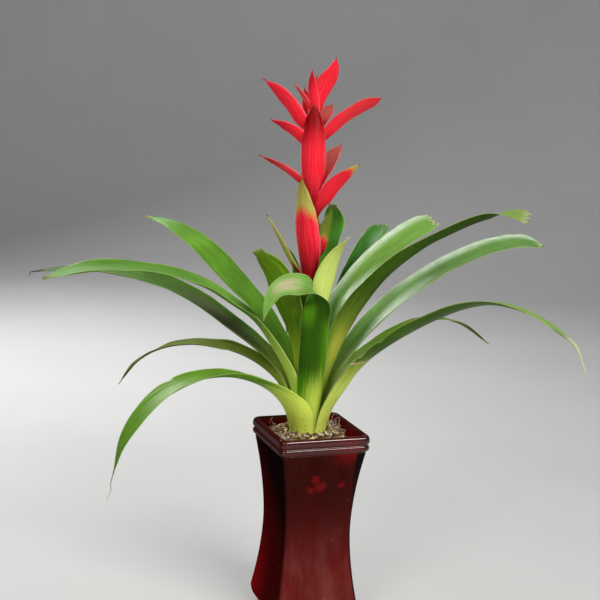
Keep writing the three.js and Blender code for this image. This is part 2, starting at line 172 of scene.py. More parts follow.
def ripple(x: np.ndarray, seed: int, waves: int = 6) -> np.ndarray:
    """A seeded wavy number: a sum of sines of rising pitch, each weaker than the last.

    Args:
        x: Where it is read; one unit holds about one wave of the lowest sine.
        seed: Draws the phases and the pitches.
        waves: How many sines are added.

    Returns:
        Numbers of about -1 to 1, as many as x holds.
    """
    rng = np.random.default_rng(seed)
    pitch = (WAVE_PITCH ** np.arange(waves)) * rng.uniform(0.85, 1.15, waves)
    phase = rng.uniform(0, 2 * np.pi, waves)
    weight = WAVE_FADE ** np.arange(waves)
    turns = 2 * np.pi * np.asarray(x, float)[..., None] * pitch + phase
    return (np.sin(turns) * weight).sum(-1) / weight.sum() * WAVE_SIZE


def curls(t: np.ndarray, first: int, step: int) -> np.ndarray:
    """A wavering vector along a column t: a short ripple for each of x, y and z, their seeds a step apart."""
    return np.concatenate([ripple(t, first + step * k, 3) for k in (1, 2, 3)], axis=1)


def turned(points: np.ndarray, axis: Axis, degrees: float) -> np.ndarray:
    """Points turned about a row axis by the right-hand rule.

    Args:
        points: Any array whose last side holds x, y and z.
        axis: The axis.
        degrees: How far.

    Returns:
        The turned points, in the same layout.
    """
    a = math.radians(degrees)
    c, s = math.cos(a), math.sin(a)
    if axis is Axis.Z:
        matrix = np.array([[c, -s, 0], [s, c, 0], [0, 0, 1]])
    else:
        matrix = np.array([[c, 0, s], [0, 1, 0], [-s, 0, c]])
    return points @ matrix.T


def planted(points: np.ndarray, heading: float) -> np.ndarray:
    """Points of a plant part in the row frame: turned to its heading, then set on the plant's place.

    Args:
        points: Millimetres from the plant's axis and the vase's lip.
        heading: Degrees about the plant's axis.

    Returns:
        Millimetres in the row frame.
    """
    return turned(points, Axis.Z, heading + PLANT_TURN) + np.array([*PLANT_PLACE, VASE_HEIGHT])


def sample(table: np.ndarray, values: np.ndarray, x: np.ndarray) -> np.ndarray:
    """Vectors read from a table, a straight line between each two entries.

    Args:
        table: Rising places of the entries.
        values: One vector for each entry.
        x: Places to read, in any layout.

    Returns:
        Vectors in the layout of x.
    """
    return np.stack([np.interp(x, table, values[:, k]) for k in range(values.shape[1])], -1)


def unit(vectors: np.ndarray) -> np.ndarray:
    """Vectors divided by their lengths."""
    return vectors / np.maximum(np.linalg.norm(vectors, axis=-1, keepdims=True), 1e-12)


def spine(points: np.ndarray, shares: np.ndarray) -> tuple[np.ndarray, np.ndarray, float]:
    """A smooth line through points: a cubic between each two, its end slopes weighed by the root of distance.

    Args:
        points: The points that it passes, n by 3.
        shares: Shares of its length to read, rising from 0 to 1.

    Returns:
        Places and unit directions at the shares, and the whole length.
    """
    p = np.vstack([2 * points[0] - points[1], points, 2 * points[-1] - points[-2]])
    step = np.sqrt(np.linalg.norm(np.diff(p, axis=0), axis=1))[:, None]
    d0, d1, d2 = step[:-2], step[1:-1], step[2:]
    a, b, c, d = p[:-3], p[1:-2], p[2:-1], p[3:]
    t1 = ((b - a) / d0 - (c - a) / (d0 + d1) + (c - b) / d1) * d1
    t2 = ((c - b) / d1 - (d - b) / (d1 + d2) + (d - c) / d2) * d1
    w = np.linspace(0, 1, SPAN_STEPS, endpoint=False)[None, :, None]
    c2 = -3 * b + 3 * c - 2 * t1 - t2
    c3 = 2 * b - 2 * c + t1 + t2
    place = b[:, None] + t1[:, None] * w + c2[:, None] * w**2 + c3[:, None] * w**3
    slope = t1[:, None] + 2 * c2[:, None] * w + 3 * c3[:, None] * w**2
    place = np.vstack([place.reshape(-1, 3), points[-1]])
    slope = np.vstack([slope.reshape(-1, 3), t2[-1]])
    run = np.concatenate([[0], np.cumsum(np.linalg.norm(np.diff(place, axis=0), axis=1))])
    at = shares * run[-1]
    return sample(run, place, at), unit(sample(run, unit(slope), at)), float(run[-1])


def carried(along: np.ndarray, first: np.ndarray) -> np.ndarray:
    """A side vector carried along a line with no spin: at each station its part along the line goes.

    Args:
        along: Unit directions of the line.
        first: The side vector at its start.

    Returns:
        A unit side vector for each station.
    """
    def step(side: np.ndarray, direction: np.ndarray) -> np.ndarray:
        """The next station's side vector."""
        return unit(side - direction * (side @ direction))

    return np.array(list(accumulate(along, step, initial=first))[1:])


@dataclass
class Solid:
    """A closed surface in millimetres, with vectors of tags for its points.

    Attributes:
        points: n by 3.
        quads: Four-cornered faces.
        triangles: Three-cornered faces.
        tags: Named vectors for each point, read by the materials.
    """

    points: np.ndarray
    quads: np.ndarray
    triangles: np.ndarray
    tags: dict[str, np.ndarray] = field(default_factory=dict)

    @staticmethod
    def joined(solids: list["Solid"]) -> "Solid":
        """Several solids as one, the faces of each turned outwards.

        Args:
            solids: Solids with the same tags.

        Returns:
            One solid that holds them all.
        """
        solids = [s.outward() for s in solids]
        starts = np.cumsum([0] + [len(s.points) for s in solids[:-1]])
        return Solid(
            np.vstack([s.points for s in solids]),
            np.vstack([s.quads + k for s, k in zip(solids, starts)]).astype(int),
            np.vstack([s.triangles + k for s, k in zip(solids, starts)]).astype(int),
            {name: np.vstack([s.tags[name] for s in solids]) for name in solids[0].tags})

    def tagged(self, **vectors: Any) -> "Solid":
        """The same solid with tags added.

        Args:
            vectors: Under each name one vector for all the points, or one for each.

        Returns:
            The solid.
        """
        shape = self.points.shape
        added = {name: np.broadcast_to(np.asarray(vector, float), shape) for name, vector in vectors.items()}
        return Solid(self.points, self.quads, self.triangles, {**self.tags, **added})

    def volume(self) -> float:
        """The volume inside, from triple products.

        Returns:
            A sixth of the sum of each triangle's triple product; negative when the faces look inwards.
        """
        corners = np.vstack([self.triangles, self.quads[:, :3], self.quads[:, [0, 2, 3]]])
        a, b, c = (self.points[corners[:, k]] for k in range(3))
        return float((a * np.cross(b, c)).sum() / 6)

    def outward(self) -> "Solid":
        """The same solid, its faces turned round if they look inwards."""
        flip = slice(None, None, -1) if self.volume() < 0 else slice(None)
        return Solid(self.points, self.quads[:, flip], self.triangles[:, flip], self.tags)

    def build(self, name: str) -> bpy.types.Object:
        """Makes the mesh object, in metres, faces outwards and shaded smooth.

        Args:
            name: The object's name.

        Returns:
            The new object, at the origin.
        """
        body = self.outward()
        mesh = bpy.data.meshes.new(name)
        mesh.vertices.add(len(body.points))
        mesh.vertices.foreach_set("co", (body.points * MM).astype(np.float32).ravel())
        loops = np.concatenate([body.quads.ravel(), body.triangles.ravel()]).astype(np.int32)
        sizes = np.repeat([4, 3], [len(body.quads), len(body.triangles)]).astype(np.int32)
        mesh.loops.add(len(loops))
        mesh.loops.foreach_set("vertex_index", loops)
        mesh.polygons.add(len(sizes))
        mesh.polygons.foreach_set("loop_start", (np.cumsum(sizes) - sizes).astype(np.int32))
        mesh.update(calc_edges=True)
        mesh.polygons.foreach_set("use_smooth", np.ones(len(sizes), bool))
        for tag, values in body.tags.items():
            layer = mesh.attributes.new(tag, "FLOAT_VECTOR", "POINT")
            layer.data.foreach_set("vector", values.astype(np.float32).ravel())
        mesh.validate()
        LOG.info("%s: %d faces", name, len(sizes))
        return placed(name, mesh)


def placed(name: str, data: Any) -> bpy.types.Object:
    """A new object in the scene that holds a mesh, light or camera.

    Args:
        name: The object's name.
        data: What it holds.

    Returns:
        The object, at the origin.
    """
    holder = bpy.data.objects.new(name, data)
    bpy.context.scene.collection.objects.link(holder)
    return holder


def walls(stations: int, count: int) -> np.ndarray:
    """Four-cornered faces between closed rings whose points are numbered ring after ring.

    Args:
        stations: How many rings.
        count: Points in each.

    Returns:
        Faces, n by 4.
    """
    index = np.arange(stations * count).reshape(stations, count)
    after = np.roll(index, -1, axis=1)
    return np.stack([index[:-1], after[:-1], after[1:], index[1:]], -1).reshape(-1, 4)


def skin(rings: np.ndarray) -> Solid:
    """A body skinned over rings of equal count, each end closed by a fan about its middle.

    Args:
        rings: Stations by points by 3.

    Returns:
        The body. Its last two points are the middles of the first and the last ring.
    """
    stations, count = rings.shape[:2]
    ring, last = np.arange(count), (stations - 1) * count
    after = np.roll(ring, -1)
    hub = np.full(count, stations * count)
    fans = [np.stack([hub, after, ring], -1), np.stack([hub + 1, last + ring, last + after], -1)]
    middles = rings[[0, -1]].mean(1)
    return Solid(np.vstack([rings.reshape(-1, 3), middles]), walls(stations, count), np.vstack(fans))


def tube(path: np.ndarray, radii: np.ndarray, sides: int) -> Solid:
    """A round tube along a path: at each station a circle in the plane across it.

    Args:
        path: Stations, n by 3.
        radii: A radius for each station.
        sides: Points round each circle.

    Returns:
        The tube, closed at both ends.
    """
    along = unit(np.gradient(path, axis=0))
    start = np.array([1.0, 0, 0]) if abs(along[0][0]) < 0.8 else np.array([0, 1.0, 0])
    side = carried(along, start)
    up = np.cross(along, side)
    angle = np.linspace(0, 2 * np.pi, sides, endpoint=False)[None, :, None]
    ring = side[:, None] * np.cos(angle) + up[:, None] * np.sin(angle)
    return skin(path[:, None] + ring * radii[:, None, None])


@dataclass(frozen=True)
class Wear:
    """Marks of age on a blade's outline.

    Attributes:
        torn: Ragged length at the tip, in millimetres.
        nicks: Share of the length, side (-1 or 1) and depth in millimetres of each notch.
        wisp: Length of the dried thread at the tip.
        wave: How far the margins wave up and down.
        twist: Degrees that the last eighth of the blade twists.
    """

    torn: float = 0.0
    nicks: tuple[tuple[float, int, float], ...] = ()
    wisp: float = 0.0
    wave: float = 0.5
    twist: float = 0.0


@dataclass(frozen=True)
class Ribbon:
    """A thin blade carried along a spine, its section an arc across it.

    Attributes:
        heading: Degrees about the plant's axis.
        width: Full width in millimetres.
        midrib: Points [out, up, sideways] of its midrib.
        seed: Draws its small irregularities.
        wear: Marks of age.
    """

    heading: float
    width: float
    midrib: tuple[tuple[float, ...], ...]
    seed: int = 1
    wear: Wear = Wear()

    def route(self) -> np.ndarray:
        """Points of the midrib in space, n by 3."""
        return np.array([(p[0], p[2] if len(p) > 2 else 0.0, p[1]) for p in self.midrib], float)

    def length(self) -> float:
        """The midrib's length in millimetres."""
        return spine(self.route(), np.linspace(0, 1, 3))[2]

    def first_side(self) -> np.ndarray:
        """The side vector at the foot."""
        return np.array([0.0, 1.0, 0.0])

    def roll_at(self, share: np.ndarray, length: float) -> np.ndarray:
        """Radians that the blade is rolled at a share of its length."""
        return np.zeros_like(share)

    def half_at(self, share: np.ndarray, length: float) -> np.ndarray:
        """Half the width at a share of the length."""
        return np.full_like(share, self.width / 2)

    def bend_at(self, share: np.ndarray, out: np.ndarray) -> np.ndarray:
        """One over the section's radius at a share of the length and a distance from the axis."""
        return 1 / np.maximum(out, 1)

    def outline(self, share: np.ndarray, across: np.ndarray, half: np.ndarray) -> np.ndarray:
        """The arc's length from the midrib: across times half the width with a faint waver, less the notches.

        A notch is its depth times the cube of across and a bell curve over the shares, wider towards the tip.

        Args:
            share: Shares of the length.
            across: From -1 to 1.
            half: Half the width there.

        Returns:
            Millimetres along the arc.
        """
        waver = 1 + MARGIN_WAVER * ripple(7 * share + 3 * np.sign(across), self.seed)
        cut = np.zeros_like(share)
        for at, side, depth in self.wear.nicks:
            reach = np.where(share > at, NOTCH_REACH[1], NOTCH_REACH[0])
            here = np.exp(-(((share - at) / reach) ** 2)) * (np.sign(across) == side)
            cut = cut + depth * here * np.abs(across) ** 3
        return across * half * waver - np.sign(across) * cut

    def waved(self, share: np.ndarray, across: np.ndarray) -> np.ndarray:
        """How far the margins lift: the square of across times a ripple, none near the foot and the tip."""
        lift = self.wear.wave * across**2 * smooth(0.2, 0.45, share) * (1 - smooth(0.9, 1, share))
        return lift * ripple(2.5 * share + across, self.seed + 9, 3)

    def solid(self, stations: int, columns: int) -> Solid:
        """Both faces of the blade on one grid of share and across, closed round its edge.

        A point is the spine's place, plus the section's radius times the sine of its angle sideways, plus
        the radius less the radius times the cosine of its angle upwards. The angle is the arc over the
        radius. The blade thins from its midrib to its margins by the fourth power of across.

        Args:
            stations: Grid lines along the blade.
            columns: Grid lines across it.

        Returns:
            The blade, with tags of share, across and face, and a dried thread at its tip if it has one.
        """
        table = np.linspace(0, 1, LINE_STATIONS)
        at, along, length = spine(self.route(), table)
        side = carried(along, self.first_side())
        even, across = np.meshgrid(np.linspace(0, 1, stations) ** CROWDING, np.linspace(-1, 1, columns),
                                   indexing="ij")
        ragged = 0.5 + 0.5 * ripple(1.6 * across, self.seed + 5, 7)
        share = even * (1 - self.wear.torn / length * ragged * even**14)
        place, direction = sample(table, at, share), unit(sample(table, along, share))
        sideways = sample(table, side, share)
        sideways = unit(sideways - direction * (sideways * direction).sum(-1, keepdims=True))
        twist = math.radians(self.wear.twist) * smooth(0.86, 0.99, share)
        roll = (self.roll_at(share, length) + twist)[..., None]
        sideways = sideways * np.cos(roll) + np.cross(direction, sideways) * np.sin(roll)
        upper = np.cross(direction, sideways)
        bend = self.bend_at(share, np.hypot(place[..., 0], place[..., 1]))
        angle = self.outline(share, across, self.half_at(share, length)) * bend
        lift = self.waved(share, across)
        sheets = []
        for face in (1, -1):
            radius = 1 / bend - face * BLADE_THICKNESS * (1 - MARGIN_THINNING * across**4) / 2
            point = place + sideways * (radius * np.sin(angle))[..., None]
            sheets.append(point + upper * (1 / bend - radius * np.cos(angle) + lift)[..., None])
        points = np.concatenate([sheets[0], sheets[1][:, ::-1]], axis=1).reshape(-1, 3)
        j = np.arange(columns - 1)
        cap = np.stack([j + 1, j, 2 * columns - 1 - j, 2 * columns - 2 - j], -1)
        quads = np.vstack([walls(stations, 2 * columns), cap, (stations - 1) * 2 * columns + cap[:, ::-1]])
        face = np.broadcast_to(np.repeat([1.0, 0.0], columns), (stations, 2 * columns))
        tags = np.stack([np.hstack([even, even]), np.hstack([across, across[:, ::-1]]), face], -1)
        blade = Solid(points, quads, np.zeros((0, 3), int)).tagged(blade=tags.reshape(-1, 3))
        return Solid.joined([blade, self.thread(at[-1], along[-1])]) if self.wear.wisp > 0 else blade

    def thread(self, tip: np.ndarray, direction: np.ndarray) -> Solid:
        """The dried thread: a thin tube that leaves the tip, bends down and curls.

        Its path is the tip plus, times the thread's length, the direction by a slowing share, a drop and a
        curl that grow by the share's square.

        Args:
            tip: Where the blade ends.
            direction: Unit direction of its end.

        Returns:
            The thread, tagged as the blade's very tip.
        """
        t = np.linspace(-0.15, 1, 24)[:, None]
        drop = np.array([0.0, 0.0, -1.0])
        sag = 0.6 * drop * t**2 + 0.06 * curls(1.2 * t, self.seed, 1) * t**2
        path = tip + self.wear.wisp * (direction * t * (1 - 0.45 * t) + sag)
        radii = THREAD_RADIUS * (1 - 0.75 * np.clip(t[:, 0], 0, 1))
        return tube(path, radii, 6).tagged(blade=(1.0, 0.0, 0.0))


def narrowed(share: np.ndarray, start: float, power: float) -> np.ndarray:
    """What is left of the width: 1 until start, then 1 less the share of the rest to a power."""
    return 1 - np.clip((share - start) / (1 - start), 0, 1) ** power


@dataclass(frozen=True)
class StrapLeaf(Ribbon):
    """A strap leaf that clasps the scape at its foot and opens as it leaves it.

    Attributes:
        ring: The ring that its foot stands in, counted inwards.
        turn: Degrees that its foot is turned from its heading.
        clasp: Half the angle that its foot clasps.
        widen: Length over which it reaches its width.
        swell: How much its sheath swells beyond that.
        roll: Degrees that it rolls, and the shares where that starts and ends.
        taper: Share where it starts to narrow, and the power.
        tip: Width of its tip.
    """

    ring: int = 0
    turn: float = 0.0
    clasp: float = 34.0
    widen: float = 60.0
    swell: float = 0.0
    roll: tuple[float, float, float] = (0.0, 0.0, 1.0)
    taper: tuple[float, float] = (0.55, 2.0)
    tip: float = 1.6

    def foot_radius(self) -> float:
        """Distance of the foot from the plant's axis."""
        return FOOT_RADIUS - self.ring * RING_PITCH

    def route(self) -> np.ndarray:
        """The midrib with its straight foot, the foot's turn let out over its first stretch.

        Returns:
            Points in space, n by 3.
        """
        radius = self.foot_radius()
        foot = [(radius, 0.0, LEAF_FOOT), (radius + FOOT_LEAN, 0.0, LEAF_FOOT + FOOT_STRAIGHT)]
        flat = np.vstack([foot, super().route()])
        run = np.concatenate([[0], np.cumsum(np.hypot(np.diff(flat[:, 0]), np.diff(flat[:, 2])))])
        angle = math.radians(self.turn) * (1 - smooth(0, TURN_LENGTH, run))
        x = flat[:, 0] * np.cos(angle) - flat[:, 1] * np.sin(angle)
        y = flat[:, 0] * np.sin(angle) + flat[:, 1] * np.cos(angle)
        return np.stack([x, y, flat[:, 2]], -1)

    def first_side(self) -> np.ndarray:
        """Across the foot, which is turned from the heading."""
        a = math.radians(self.turn)
        return np.array([-math.sin(a), math.cos(a), 0.0])

    def roll_at(self, share: np.ndarray, length: float) -> np.ndarray:
        """The blade's own roll, less the foot's turn as it is let out."""
        own = math.radians(self.roll[0]) * smooth(self.roll[1], self.roll[2], share)
        return own - math.radians(self.turn) * smooth(0, TURN_LENGTH, share * length)

    def half_at(self, share: np.ndarray, length: float) -> np.ndarray:
        """From the clasping foot to half the width, with the sheath's swelling, narrowed to the tip.

        Args:
            share: Shares of the length.
            length: The midrib's length.

        Returns:
            Half widths.
        """
        run = share * length
        foot = self.foot_radius() * math.radians(self.clasp)
        grown = foot + (self.width / 2 - foot) * smooth(0, self.widen, run)
        bulge = smooth(0, SWELL[0], run) * (1 - smooth(SWELL[0], SWELL[1], run))
        return np.maximum((grown + self.swell * bulge) * narrowed(share, *self.taper), self.tip / 2)

    def bend_at(self, share: np.ndarray, out: np.ndarray) -> np.ndarray:
        """Clasping near the axis, then a channel that flattens towards the tip."""
        channel = CHANNEL_RADIUS + (FLAT_RADIUS - CHANNEL_RADIUS) * smooth(FLATTEN_FROM, 1, share)
        return 1 / np.minimum(out, channel)


@dataclass(frozen=True)
class Bract(Ribbon):
    """A lance-shaped bract, hollow towards the scape.

    Attributes:
        roll: Degrees that it rolls over its neck.
        taper: Share where it starts to narrow, and the power.
        green: Share of its length that is green to olive, from the tip.
        dark: How dark its tip is, 0 to 1.
        dull: How dull and pinkish it is, 0 to 1.
        neck: Share of its full width at its root.
        tip: Width of its tip.
    """

    roll: float = 0.0
    taper: tuple[float, float] = (0.45, 2.0)
    green: float = 0.0
    dark: float = 0.1
    dull: float = 0.0
    neck: float = 0.4
    tip: float = 0.8

    def route(self) -> np.ndarray:
        """The midrib, from a root inside the scape."""
        root = (BRACT_ROOT[0], 0.0, self.midrib[0][1] - BRACT_ROOT[1])
        return np.vstack([root, super().route()])

    def roll_at(self, share: np.ndarray, length: float) -> np.ndarray:
        """Rolled over the neck."""
        return math.radians(self.roll) * smooth(0, BRACT_NECK, share)

    def half_at(self, share: np.ndarray, length: float) -> np.ndarray:
        """Opens over the neck, then narrows to the tip."""
        opened = self.neck + (1 - self.neck) * smooth(0, BRACT_NECK, share)
        return np.maximum(self.width / 2 * opened * narrowed(share, *self.taper), self.tip / 2)

    def bend_at(self, share: np.ndarray, out: np.ndarray) -> np.ndarray:
        """Wrapped round the scape at its root, hollow further out."""
        return 1 / np.clip(out, SCAPE_RADIUS + 2, BRACT_RADIUS)


class Field:
    """A number, vector or colour that changes over a surface: a node's output socket with arithmetic."""

    def __init__(self, graph: "Graph", socket: bpy.types.NodeSocket) -> None:
        """Wraps a socket of a graph's node."""
        self.graph = graph
        self.socket = socket

    def __add__(self, other: "Field | float") -> "Field":
        """The sum."""
        return self.graph.maths("ADD", self, other)

    def __radd__(self, other: float) -> "Field":
        """The sum, the number first."""
        return self.graph.maths("ADD", other, self)

    def __sub__(self, other: "Field | float") -> "Field":
        """The difference."""
        return self.graph.maths("SUBTRACT", self, other)

    def __rsub__(self, other: float) -> "Field":
        """The difference, the number first."""
        return self.graph.maths("SUBTRACT", other, self)

    def __mul__(self, other: "Field | float") -> "Field":
        """The product."""
        return self.graph.maths("MULTIPLY", self, other)

    def __rmul__(self, other: float) -> "Field":
        """The product, the number first."""
        return self.graph.maths("MULTIPLY", other, self)

    def __abs__(self) -> "Field":
        """The size without its sign."""
        return self.graph.maths("ABSOLUTE", self)


class Graph:
    """One material's nodes."""

    def __init__(self, name: str) -> None:
        """Starts an empty material.

        Args:
            name: The material's name.
        """
        self.material = bpy.data.materials.new(name)
        self.material.use_nodes = True
        self.tree = self.material.node_tree
        self.tree.nodes.clear()

    def node(self, kind: str, settings: dict[str, Any], inputs: dict[Any, Any]) -> bpy.types.Node:
        """Adds a node.

        Args:
            kind: The node's type.
            settings: Its own settings, set first.
            inputs: A value, or a field to link, for each input by name or number.

        Returns:
            The node.
        """
        node = self.tree.nodes.new(kind)
        for key, value in settings.items():
            setattr(node, key, value)
        for key, value in inputs.items():
            if isinstance(value, Field):
                self.tree.links.new(value.socket, node.inputs[key])
            else:
                node.inputs[key].default_value = value
        return node

    def read(self, kind: str, settings: dict[str, Any], inputs: dict[Any, Any], output: Any = 0) -> Field:
        """Adds a node and wraps one of its outputs.

        Args:
            kind: The node's type.
            settings: Its own settings.
            inputs: Values or fields of its inputs.
            output: The output's name or number.

        Returns:
            The output as a field.
        """
        return Field(self, self.node(kind, settings, inputs).outputs[output])

    def maths(self, operation: str, *values: "Field | float") -> Field:
        """A Math node on numbers or fields."""
        return self.read("ShaderNodeMath", {"operation": operation}, dict(enumerate(values)))

    def step(self, low: float, high: float, value: Field) -> Field:
        """A smooth step of a field from 0 at low to 1 at high."""
        settings = {"interpolation_type": "SMOOTHSTEP"}
        return self.read("ShaderNodeMapRange", settings, {"Value": value, "From Min": low, "From Max": high})

    def fall(self, low: float, high: float, value: Field) -> Field:
        """A smooth step of a field from 1 at low to 0 at high."""
        return 1 - self.step(low, high, value)

    def mix(self, mask: "Field | float", base: "Field | str", over: "Field | str") -> Field:
        """Two colours, fields or screen values, mixed: base where the mask is 0, over where it is 1."""
        colours = [tone(colour) if isinstance(colour, str) else colour for colour in (base, over)]
        return self.read("ShaderNodeMix", {"data_type": "RGBA"}, {0: mask, 6: colours[0], 7: colours[1]}, 2)

    def shaded(self, amount: Field, colour: Field, shade: float) -> Field:
        """A colour multiplied by a grey where the amount is 1.

        Args:
            amount: Where it is shaded.
            colour: The colour.
            shade: The grey, under 1 to darken and over 1 to lighten.

        Returns:
            The shaded colour.
        """
        inputs = {0: amount, 6: colour, 7: (shade, shade, shade, 1.0)}
        return self.read("ShaderNodeMix", {"data_type": "RGBA", "blend_type": "MULTIPLY"}, inputs, 2)

    def tag(self, name: str) -> tuple[Field, Field, Field]:
        """The three numbers of a mesh's named vector."""
        return self.split(self.read("ShaderNodeAttribute", {"attribute_name": name}, {}, "Vector"))

    def place(self) -> Field:
        """The point's place in the row frame, in metres."""
        return self.read("ShaderNodeTexCoord", {}, {}, "Object")

    def stretched(self, level: float, upright: float) -> Field:
        """The place, x and y multiplied by one number and z by another, to stretch what is read there."""
        inputs = {0: self.place(), 1: (level, level, upright)}
        return self.read("ShaderNodeVectorMath", {"operation": "MULTIPLY"}, inputs, "Vector")

    def split(self, vector: Field) -> tuple[Field, Field, Field]:
        """The three numbers of a vector."""
        x, y, z = self.node("ShaderNodeSeparateXYZ", {}, {0: vector}).outputs
        return Field(self, x), Field(self, y), Field(self, z)

    def vector(self, x: "Field | float", y: "Field | float", z: "Field | float") -> Field:
        """A vector of three numbers or fields."""
        return self.read("ShaderNodeCombineXYZ", {}, {0: x, 1: y, 2: z})

    def noise(self, vector: Field, scale: float, detail: float, rough: float) -> Field:
        """Cloudy noise, 0 to 1.

        Args:
            vector: Where it is read.
            scale: Clouds to a unit.
            detail: Finer layers added.
            rough: Their weight.

        Returns:
            The noise.
        """
        inputs = {"Vector": vector, "Scale": scale, "Detail": detail, "Roughness": rough}
        return self.read("ShaderNodeTexNoise", {}, inputs)

    def cells(self, vector: Field, scale: float) -> Field:
        """Distance to the nearest of scattered points."""
        return self.read("ShaderNodeTexVoronoi", {}, {"Vector": vector, "Scale": scale}, "Distance")

    def finish(self, surface: dict[str, Any], height: Field, depth: float,
               strength: float) -> bpy.types.Material:
        """Closes the material with a shader whose bumps come from a height.

        Args:
            surface: Inputs of the shader by name.
            height: Height of the bumps, 0 to 1.
            depth: Their depth in metres.
            strength: How strongly they show.

        Returns:
            The material.
        """
        inputs = {"Height": height, "Distance": depth, "Strength": strength}
        normal = self.read("ShaderNodeBump", {}, inputs)
        shader = self.read("ShaderNodeBsdfPrincipled", {}, {**surface, "Normal": normal})
        self.node("ShaderNodeOutputMaterial", {}, {0: shader})
        return self.material


def dress(piece: bpy.types.Object, material: bpy.types.Material, slot: Slot, *nodes: str) -> None:
    """Gives a piece its material and its place in the frame.

    Args:
        piece: The new piece.
        material: Its finish.
        slot: The record's slot of that finish; not used.
        nodes: The solids that it stands for.
    """
    piece.data.materials.append(material)
    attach(piece, "root")
    if nodes:
        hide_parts(*nodes)


@dataclass(frozen=True)
class BladeFields:
    """What the patterns of a leaf or bract are worked out from.

    Attributes:
        share: Share of the length.
        across: From -1 to 1 over the width.
        face: 1 on the upper face, 0 on the lower.
        streak: Broad lengthwise streaks, 0 to 1.
        fine: Fine ones.
        cloud: Soft clouds, 0 to 1.
    """

    share: Field
    across: Field
    face: Field
    streak: Field
    fine: Field
    cloud: Field

    @staticmethod
    def read(g: Graph, stretch: tuple[float, float, float], pitch: tuple[float, float],
             cloud: tuple[float, float]) -> "BladeFields":
        """Reads a blade's tags and lays noise along it.

        Args:
            g: The material's graph.
            stretch: Reach of the streaks' own space over the width, over the length and from face to face.
            pitch: Scales of the broad and of the fine streaks.
            cloud: Scale and roughness of the clouds.

        Returns:
            The fields.
        """
        share, across, face = g.tag("blade")
        run = g.vector(across * stretch[0], share * stretch[1], face * stretch[2])
        streak, fine = g.noise(run, pitch[0], 4, 0.6), g.noise(run, pitch[1], 2, 0.5)
        return BladeFields(share, across, face, streak, fine, g.noise(g.place(), cloud[0], 3, cloud[1]))


